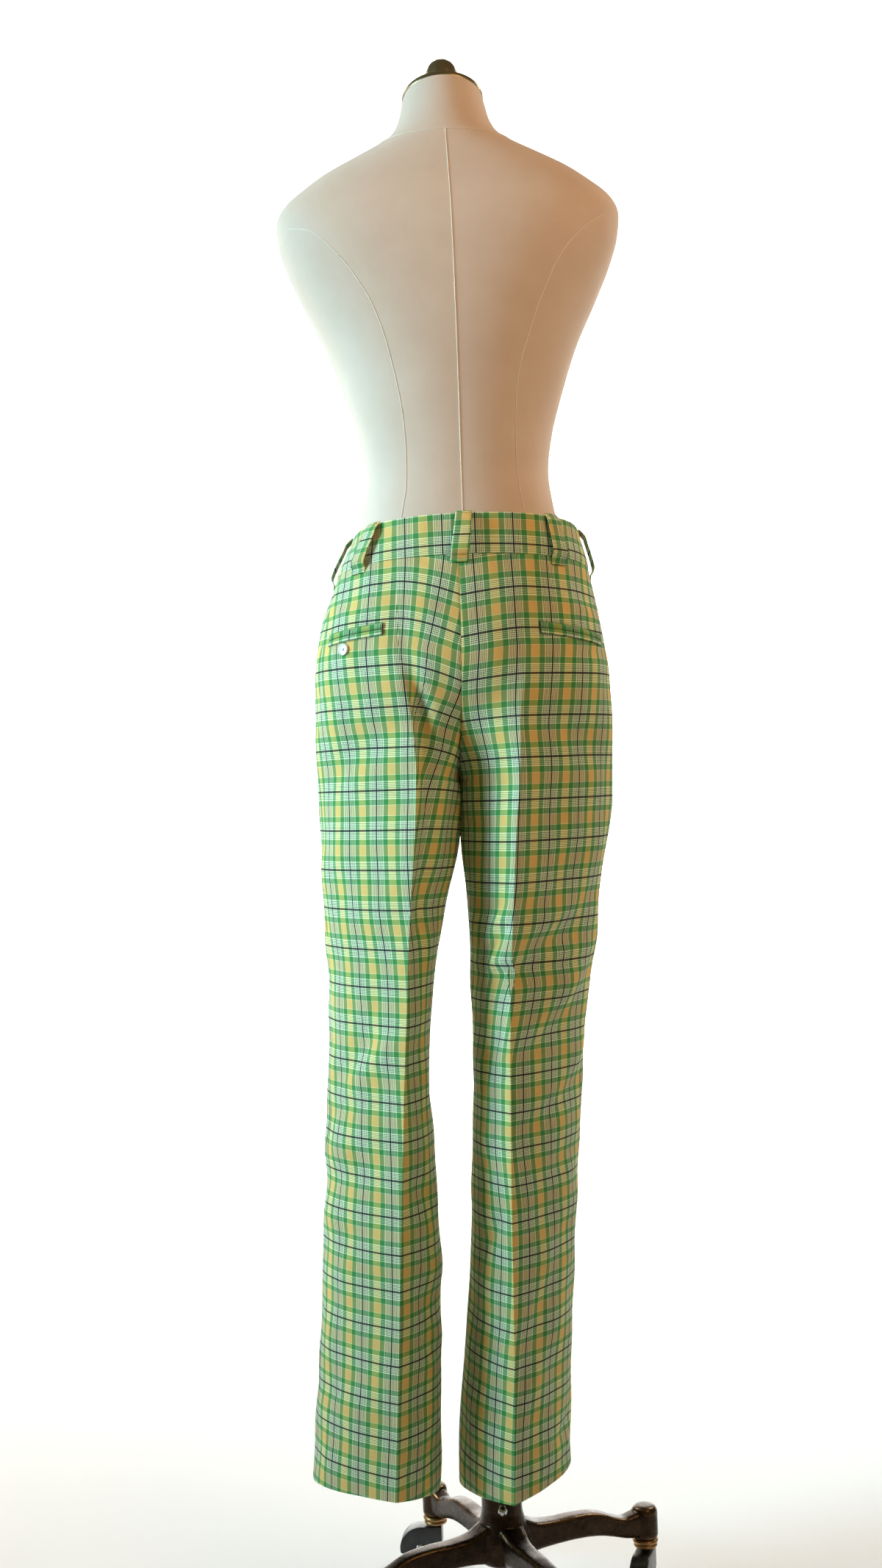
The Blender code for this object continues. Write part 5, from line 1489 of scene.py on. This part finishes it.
def neck_fittings(surface):
    """The disc on the neck and its faceted finial, both square to the neck's slanting top."""
    top = dict(zip(FORM_COLUMNS, FORM[-1]))
    seat = Vector((FORM_X, top["shift"] * MM, top["z"] * MM + SEAM_GAP / math.cos(NECK_TILT)))
    place = Matrix.Translation(seat) @ Matrix.Rotation(-NECK_TILT, 4, "X")
    disc = rounded_profile(
        [
            (AXIS_HOLE, 0.0), (CAP_RADIUS - 1.5 * MM, 0.0), (CAP_RADIUS, 1.5 * MM),
            (CAP_RADIUS, 6.0 * MM), (CAP_RADIUS - 2.5 * MM, 8.5 * MM),
            (CAP_RADIUS * 0.55, 13.0 * MM), (KNOB_RADIUS * 0.95, 14.5 * MM), (AXIS_HOLE, 14.5 * MM),
        ],
        1.6 * MM,
    )
    cap = lathe_mesh("neck_cap_disc", disc, 96)
    cap.transform(place)
    place_piece("neck_cap_disc", cap, surface, "form", ("neck_cap",))
    foot = 14.5 * MM + SEAM_GAP
    rise = (KNOB_TOP - seat.z) / math.cos(NECK_TILT) - foot - 4 * MM
    finial = [
        (AXIS_HOLE, foot), (KNOB_RADIUS * 0.9, foot), (KNOB_RADIUS, foot + 0.1 * rise),
        (KNOB_RADIUS * 1.0, foot + 0.5 * rise), (KNOB_RADIUS * 0.9, foot + 0.74 * rise),
        (KNOB_RADIUS * 0.7, foot + 0.92 * rise), (KNOB_RADIUS * 0.5, foot + rise),
        (AXIS_HOLE, foot + rise),
    ]
    knob = evaluated(lathe_mesh("neck_finial", finial, 10), [bevel(1.3 * MM, 3, 12)])
    knob.transform(place)
    place_piece("neck_finial", knob, surface, "form", ("neck_knob",), smooth_degrees=20)


def arm_mesh(azimuth):
    """One arm of the casting, swept outwards with rounded corners."""
    turn = math.radians(azimuth)
    along = np.array([math.cos(turn), math.sin(turn), 0])
    aside = np.array([-math.sin(turn), math.cos(turn), 0])
    rows = np.array(ARM)
    reach = np.linspace(rows[0, 0], rows[-1, 0], 60)
    top, foot, width = (curve(rows[:, 0], rows[:, at], reach) * MM for at in (1, 2, 3))
    middle, rise = (top + foot) / 2, (top - foot) / 2
    angles = np.arange(28) * 2 * math.pi / 28
    power = 0.42
    across = np.copysign(np.abs(np.cos(angles)) ** power, np.cos(angles))
    up = np.copysign(np.abs(np.sin(angles)) ** power, np.sin(angles))
    # The arm is widest under its top edge and draws in towards its foot
    taper = 1 - 0.16 * (1 - up) / 2
    points = (
        along * (reach * MM)[:, None, None]
        + aside * (width[:, None] / 2 * across * taper)[..., None]
        + np.array([0, 0, 1.0]) * (middle[:, None] + rise[:, None] * up)[..., None]
    )
    return faced_outwards(mesh_of("arm", points.reshape(-1, 3), ring_faces(*points.shape[:2])))


def boss_place(azimuth):
    turn = math.radians(azimuth)
    return Vector((BOSS_AT * math.cos(turn), BOSS_AT * math.sin(turn), 0))


def casting(surface):
    """Hub, arms and bosses run together as one casting, with soft inner corners."""
    hub = [
        (AXIS_HOLE, 72 * MM), (20 * MM, 72 * MM), (27 * MM, 75 * MM), (31 * MM, 84 * MM),
        (30 * MM, 102 * MM), (26 * MM, 116 * MM), (HUB_RADIUS, 130 * MM),
        (HUB_RADIUS, HUB_TOP - 3 * MM), (HUB_RADIUS - 3 * MM, HUB_TOP), (AXIS_HOLE, HUB_TOP),
    ]
    boss = [
        (AXIS_HOLE, BOSS_FOOT), (BOSS_RADIUS - 1.5 * MM, BOSS_FOOT), (BOSS_RADIUS, BOSS_FOOT + 3 * MM),
        (BOSS_RADIUS, BOSS_TOP - 6 * MM), (BOSS_RADIUS - 3 * MM, BOSS_TOP - 1 * MM),
        (BOSS_RADIUS - 8 * MM, BOSS_TOP), (AXIS_HOLE, BOSS_TOP),
    ]
    parts = [lathe_mesh("hub", rounded_profile(hub, 3 * MM), 64)]
    for azimuth in ARM_AZIMUTHS:
        parts.append(arm_mesh(azimuth))
        post = lathe_mesh("boss", rounded_profile(boss, 2 * MM), 48)
        post.transform(Matrix.Translation(boss_place(azimuth)))
        parts.append(post)
    mesh = evaluated(
        joined("base_casting", parts),
        [
            ("REMESH", {"mode": "VOXEL", "voxel_size": CASTING_VOXEL, "use_smooth_shade": True}),
            ("SMOOTH", {"factor": 0.5, "iterations": 5}),
        ],
    )
    return place_piece("base_casting", mesh, surface, "stand", ("base",), smooth_degrees=80)


def caster(number, azimuth, gold, black, steel):
    post = boss_place(azimuth)
    ring = [
        (RING_BORE, RING_FOOT), (12.4 * MM, RING_FOOT), (13.8 * MM, RING_FOOT + 1.5 * MM),
        (13.4 * MM, RING_FOOT + 3.6 * MM), (12.2 * MM, RING_FOOT + 4.6 * MM),
        (14.2 * MM, RING_FOOT + 5.6 * MM), (15.0 * MM, RING_FOOT + 7.6 * MM),
        (13.6 * MM, BOSS_FOOT - SEAM_GAP), (RING_BORE, BOSS_FOOT - SEAM_GAP), (RING_BORE, RING_FOOT),
    ]
    rings = lathe_mesh("rings", rounded_profile(ring, 1.0 * MM), 64)
    rings.transform(Matrix.Translation(post))
    place_piece(f"caster_beads_{number}", rings, gold, "stand", (f"caster_ring_{number}",))

    heading = math.radians(CASTER_HEADINGS[number - 1])
    swivel = Matrix.Translation(post) @ Matrix.Rotation(heading, 4, "Z")
    hood = hood_mesh()
    hood.transform(swivel)
    body = f"caster_{number}"
    place_piece(f"caster_cover_{number}", hood, black, body, (f"caster_hood_{number}",), smooth_degrees=30)
    stem = lathe_mesh(
        "stem",
        rounded_profile(
            [
                (AXIS_HOLE, RING_FOOT - 9 * MM), (6.5 * MM, RING_FOOT - 9 * MM),
                (6.5 * MM, RING_FOOT - 1.2 * MM), (4.8 * MM, RING_FOOT - 0.5 * MM),
                (4.8 * MM, BOSS_FOOT - SEAM_GAP), (AXIS_HOLE, BOSS_FOOT - SEAM_GAP),
            ],
            0.5 * MM,
        ),
        32,
    )
    stem.transform(swivel)
    place_piece(f"caster_stem_{number}", stem, steel, body)
    radius = WHEEL_RADIUS * math.cos(math.pi / WHEEL_SIDES)
    wheel_at = swivel @ Matrix.Translation((WHEEL_TRAIL, 0, radius))
    wheel_at = wheel_at @ Matrix.Rotation(math.radians(90), 4, "X")
    caps = []
    for end in (-1, 1):
        profile = rounded_profile(
            [
                (0.3 * MM, 0.0), (6.4 * MM, 0.0), (6.4 * MM, 1.1 * MM), (4.6 * MM, 2.0 * MM),
                (3.2 * MM, 1.5 * MM), (0.3 * MM, 1.5 * MM),
            ],
            0.5 * MM,
        )
        cap = lathe_mesh("cap", profile, 40)
        turned = Matrix.Rotation(0 if end > 0 else math.pi, 4, "X")
        shift = Matrix.Translation((0, 0, end * (HOOD_WIDTH / 2 - 0.1 * MM)))
        cap.transform(wheel_at @ shift @ turned)
        caps.append(cap)
    name = f"caster_axle_caps_{number}"
    place_piece(name, joined(name, caps), steel, body)

    half = WHEEL_WIDTH / 2
    boss = HOOD_SLOT / 2 - SEAM_GAP
    tread = rounded_profile(
        [
            (AXIS_HOLE, -boss), (6 * MM, -boss), (7.5 * MM, -half + 2.2 * MM),
            (radius - 6.5 * MM, -half + 2.2 * MM), (radius - 5 * MM, -half),
            (radius - 1.6 * MM, -half + 0.6 * MM),
            (radius, -half + 3.5 * MM), (radius, half - 3.5 * MM), (radius - 1.6 * MM, half - 0.6 * MM),
            (radius - 5 * MM, half), (radius - 6.5 * MM, half - 2.2 * MM), (7.5 * MM, half - 2.2 * MM),
            (6 * MM, boss), (AXIS_HOLE, boss),
        ],
        0.8 * MM,
    )
    wheel = lathe_mesh("wheel", tread, 72)
    wheel.transform(wheel_at)
    place_piece(f"caster_tread_{number}", wheel, black, f"wheel_{number}", (f"caster_wheel_{number}",))


def outline_mesh(outline, width):
    """A flat outline in the XZ plane, made width thick along Y."""
    points = [(x, y, z) for y in (-width / 2, width / 2) for x, z in outline]
    count = len(outline)
    faces = [tuple(range(count)), tuple(reversed(range(count, 2 * count)))]
    faces += [(k, count + k, count + (k + 1) % count, (k + 1) % count) for k in range(count)]
    return faced_outwards(mesh_of("outline", points, faces))


def hood_mesh():
    """The cheeks and roof over the wheel, rounded at their edges, open at the bottom."""
    outline = [(-HOOD_FRONT, WHEEL_RADIUS + 4 * MM), (-HOOD_FRONT, RING_FOOT - 1.5 * MM)]
    for i in range(37):
        angle = math.radians(96 - 108 * i / 36)
        x = WHEEL_TRAIL + HOOD_RADIUS * math.cos(angle)
        outline.append((x, WHEEL_RADIUS + HOOD_RADIUS * math.sin(angle)))
    outline.append((WHEEL_TRAIL + 7 * MM, WHEEL_RADIUS - 10 * MM))
    outline.append((WHEEL_TRAIL - 7 * MM, WHEEL_RADIUS - 10 * MM))
    hood = evaluated(outline_mesh(outline, HOOD_WIDTH), [bevel(2.3 * MM, 4, 50)])
    radius = WHEEL_RADIUS + HOOD_CLEARANCE
    slot = [(WHEEL_TRAIL + radius, -5 * MM)]
    for i in range(37):
        angle = math.pi * i / 36
        x = WHEEL_TRAIL + radius * math.cos(angle)
        slot.append((x, WHEEL_RADIUS + radius * math.sin(angle)))
    slot.append((WHEEL_TRAIL - radius, -5 * MM))
    cutter = linked("slot", outline_mesh(slot, HOOD_SLOT))
    cut = evaluated(hood, [("BOOLEAN", {"operation": "DIFFERENCE", "object": cutter})])
    bpy.data.objects.remove(cutter, do_unlink=True)
    return cut


def stand(bronze, chrome):
    bore = POLE_RADIUS + SEAM_GAP
    foot = HUB_TOP + SEAM_GAP
    tube = rounded_profile(
        [
            (bore, foot), (TUBE_RADIUS, foot), (TUBE_RADIUS, TUBE_TOP),
            (COLLAR_RADIUS, TUBE_TOP + 0.5 * MM), (COLLAR_RADIUS, TUBE_TOP + COLLAR_HEIGHT),
            (bore, TUBE_TOP + COLLAR_HEIGHT), (bore, foot + 1 * MM),
        ],
        0.9 * MM,
    )
    sleeve = lathe_mesh("sleeve", tube, 72, closed=True)
    place_piece("outer_tube_sleeve", sleeve, bronze, "stand", ("outer_tube",))
    low, high = (corner.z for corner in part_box("pole"))
    pole = rounded_profile(
        [(AXIS_HOLE, low), (POLE_RADIUS, low), (POLE_RADIUS, high), (AXIS_HOLE, high)], 0.8 * MM
    )
    place_piece("pole_rod", lathe_mesh("rod", pole, 64), chrome, "mast", ("pole",))
    face = HUB_RADIUS * math.cos(math.pi / 24) + SEAM_GAP
    screw = [(0.3 * MM, face), (3.4 * MM, face)]
    for i in range(5):
        screw += [(3.4 * MM, face + (i + 0.2) * MM), (2.9 * MM, face + (i + 0.7) * MM)]
    screw += [(3.3 * MM, face + 5.2 * MM), (2.4 * MM, face + 6.4 * MM), (2.3 * MM, face + 8 * MM)]
    ball = 5.1 * MM
    screw += [
        (ball * math.sin(math.radians(a)), face + 12 * MM - ball * math.cos(math.radians(a)))
        for a in range(30, 176, 12)
    ]
    clamp = lathe_mesh("clamp", screw, 40)
    clamp.transform(Matrix.Translation((0, 0, SCREW_Z)) @ Matrix.Rotation(math.radians(90), 4, "X"))
    place_piece("clamp_screw_ball", clamp, chrome, "clamp", ("clamp_screw",))


def dress_form_stand():
    umber, coal = rgb(46, 34, 24), rgb(24, 17, 12)
    brown = (rgb(62, 46, 32), rgb(34, 25, 18))
    bronze = edge_worn_metal("antique_bronze", brown, rgb(214, 166, 110), 0.27, 0.9)
    tube = edge_worn_metal("tube_bronze", (umber, coal), rgb(150, 108, 62), 0.4, 0.8)
    grey_green = (rgb(132, 118, 84), rgb(98, 84, 58))
    olive = edge_worn_metal("cap_bronze", grey_green, rgb(206, 188, 140), 0.32, 0.8)
    gold = bright_metal("rubbed_gold", rgb(168, 130, 86), 0.3)
    chrome = bright_metal("chrome", rgb(214, 214, 216), 0.14)
    black = moulded_plastic("black_plastic", rgb(18, 18, 20), 0.28)
    torso(cover_cloth(), seam_cord())
    neck_fittings(olive)
    stand(tube, chrome)
    casting(bronze)
    for number, azimuth in enumerate(ARM_AZIMUTHS, 1):
        caster(number, azimuth, gold, black, chrome)


# Room


def area_light(name, place, target, size, power, colour, spread=180.0):
    light = bpy.data.lights.new(name, "AREA")
    light.shape = "DISK"
    light.size = size
    light.energy = power
    light.color = colour
    light.spread = math.radians(spread)
    lamp = linked(name, light)
    lamp.location = place
    lamp.rotation_euler = (Vector(target) - Vector(place)).to_track_quat("-Z", "Y").to_euler()


def backdrop():
    """A pale floor that sweeps up into a wall nearly six metres behind the form."""
    nodes = Nodes("studio_paper", roughness=0.9)
    nodes.set("Specular IOR Level", 0.1)
    cloud = nodes.noise(nodes.object_place(), 2.0)
    nodes.colour(nodes.mix(cloud, rgb(228, 228, 227), rgb(223, 223, 223)))
    line = [(-SWEEP_NEAR, 0.0), (SWEEP_FAR - SWEEP_RADIUS, 0.0)]
    for i in range(1, 25):
        angle = math.pi / 2 * i / 24
        reach = SWEEP_FAR - SWEEP_RADIUS + SWEEP_RADIUS * math.sin(angle)
        line.append((reach, SWEEP_RADIUS * (1 - math.cos(angle))))
    line.append((SWEEP_FAR, SWEEP_HEIGHT))
    points = [(x, y, z) for x in (-SWEEP_HALF, SWEEP_HALF) for y, z in line]
    count = len(line)
    faces = [(count + i, count + i + 1, i + 1, i) for i in range(count - 1)]
    sweep = linked("studio_sweep", mesh_of("studio_sweep", points, faces))
    sweep.data.materials.append(nodes.material)
    sweep.data.shade_smooth()


def room():
    backdrop()
    world = bpy.data.worlds.new("studio")
    bpy.context.scene.world = world
    world.use_nodes = True
    background = world.node_tree.nodes["Background"]
    background.inputs["Color"].default_value = (1.0, 0.80, 0.46, 1.0)
    background.inputs["Strength"].default_value = 0.16
    area_light("window", (-3.6, -0.95, 1.9), (0, 0, 1.15), 1.6, 17.0, (0.48, 0.80, 1.0), spread=36.0)
    area_light("lamp", (1.3, -1.5, 2.35), (0, 0, 1.4), 1.2, 3.7, (1.0, 0.67, 0.44), spread=60.0)
    for side in (-1, 1):
        for away, aim, power in ((1.5, 1.0, 124.0), (3.6, 1.9, 210.0)):
            place, target = (side * 1.9, away, 2.6), (side * 0.6, away + 1.9, aim)
            area_light("wall_light", place, target, 1.6, power, (0.97, 0.97, 0.95))
    lens = bpy.data.cameras.new("camera")
    lens.sensor_width = SENSOR
    lens.lens = CAMERA_LENS
    camera = linked("camera", lens)
    camera.location = CAMERA_AT + Vector((POLE_X, 0, 0))
    camera.rotation_euler = (math.radians(90), 0, 0)
    camera.rotation_euler.rotate_axis("Z", -CAMERA_ROLL)
    bpy.context.scene.camera = camera
    bpy.context.scene.view_settings.view_transform = "Standard"


room()
panels = trousers()
dress_form_stand()
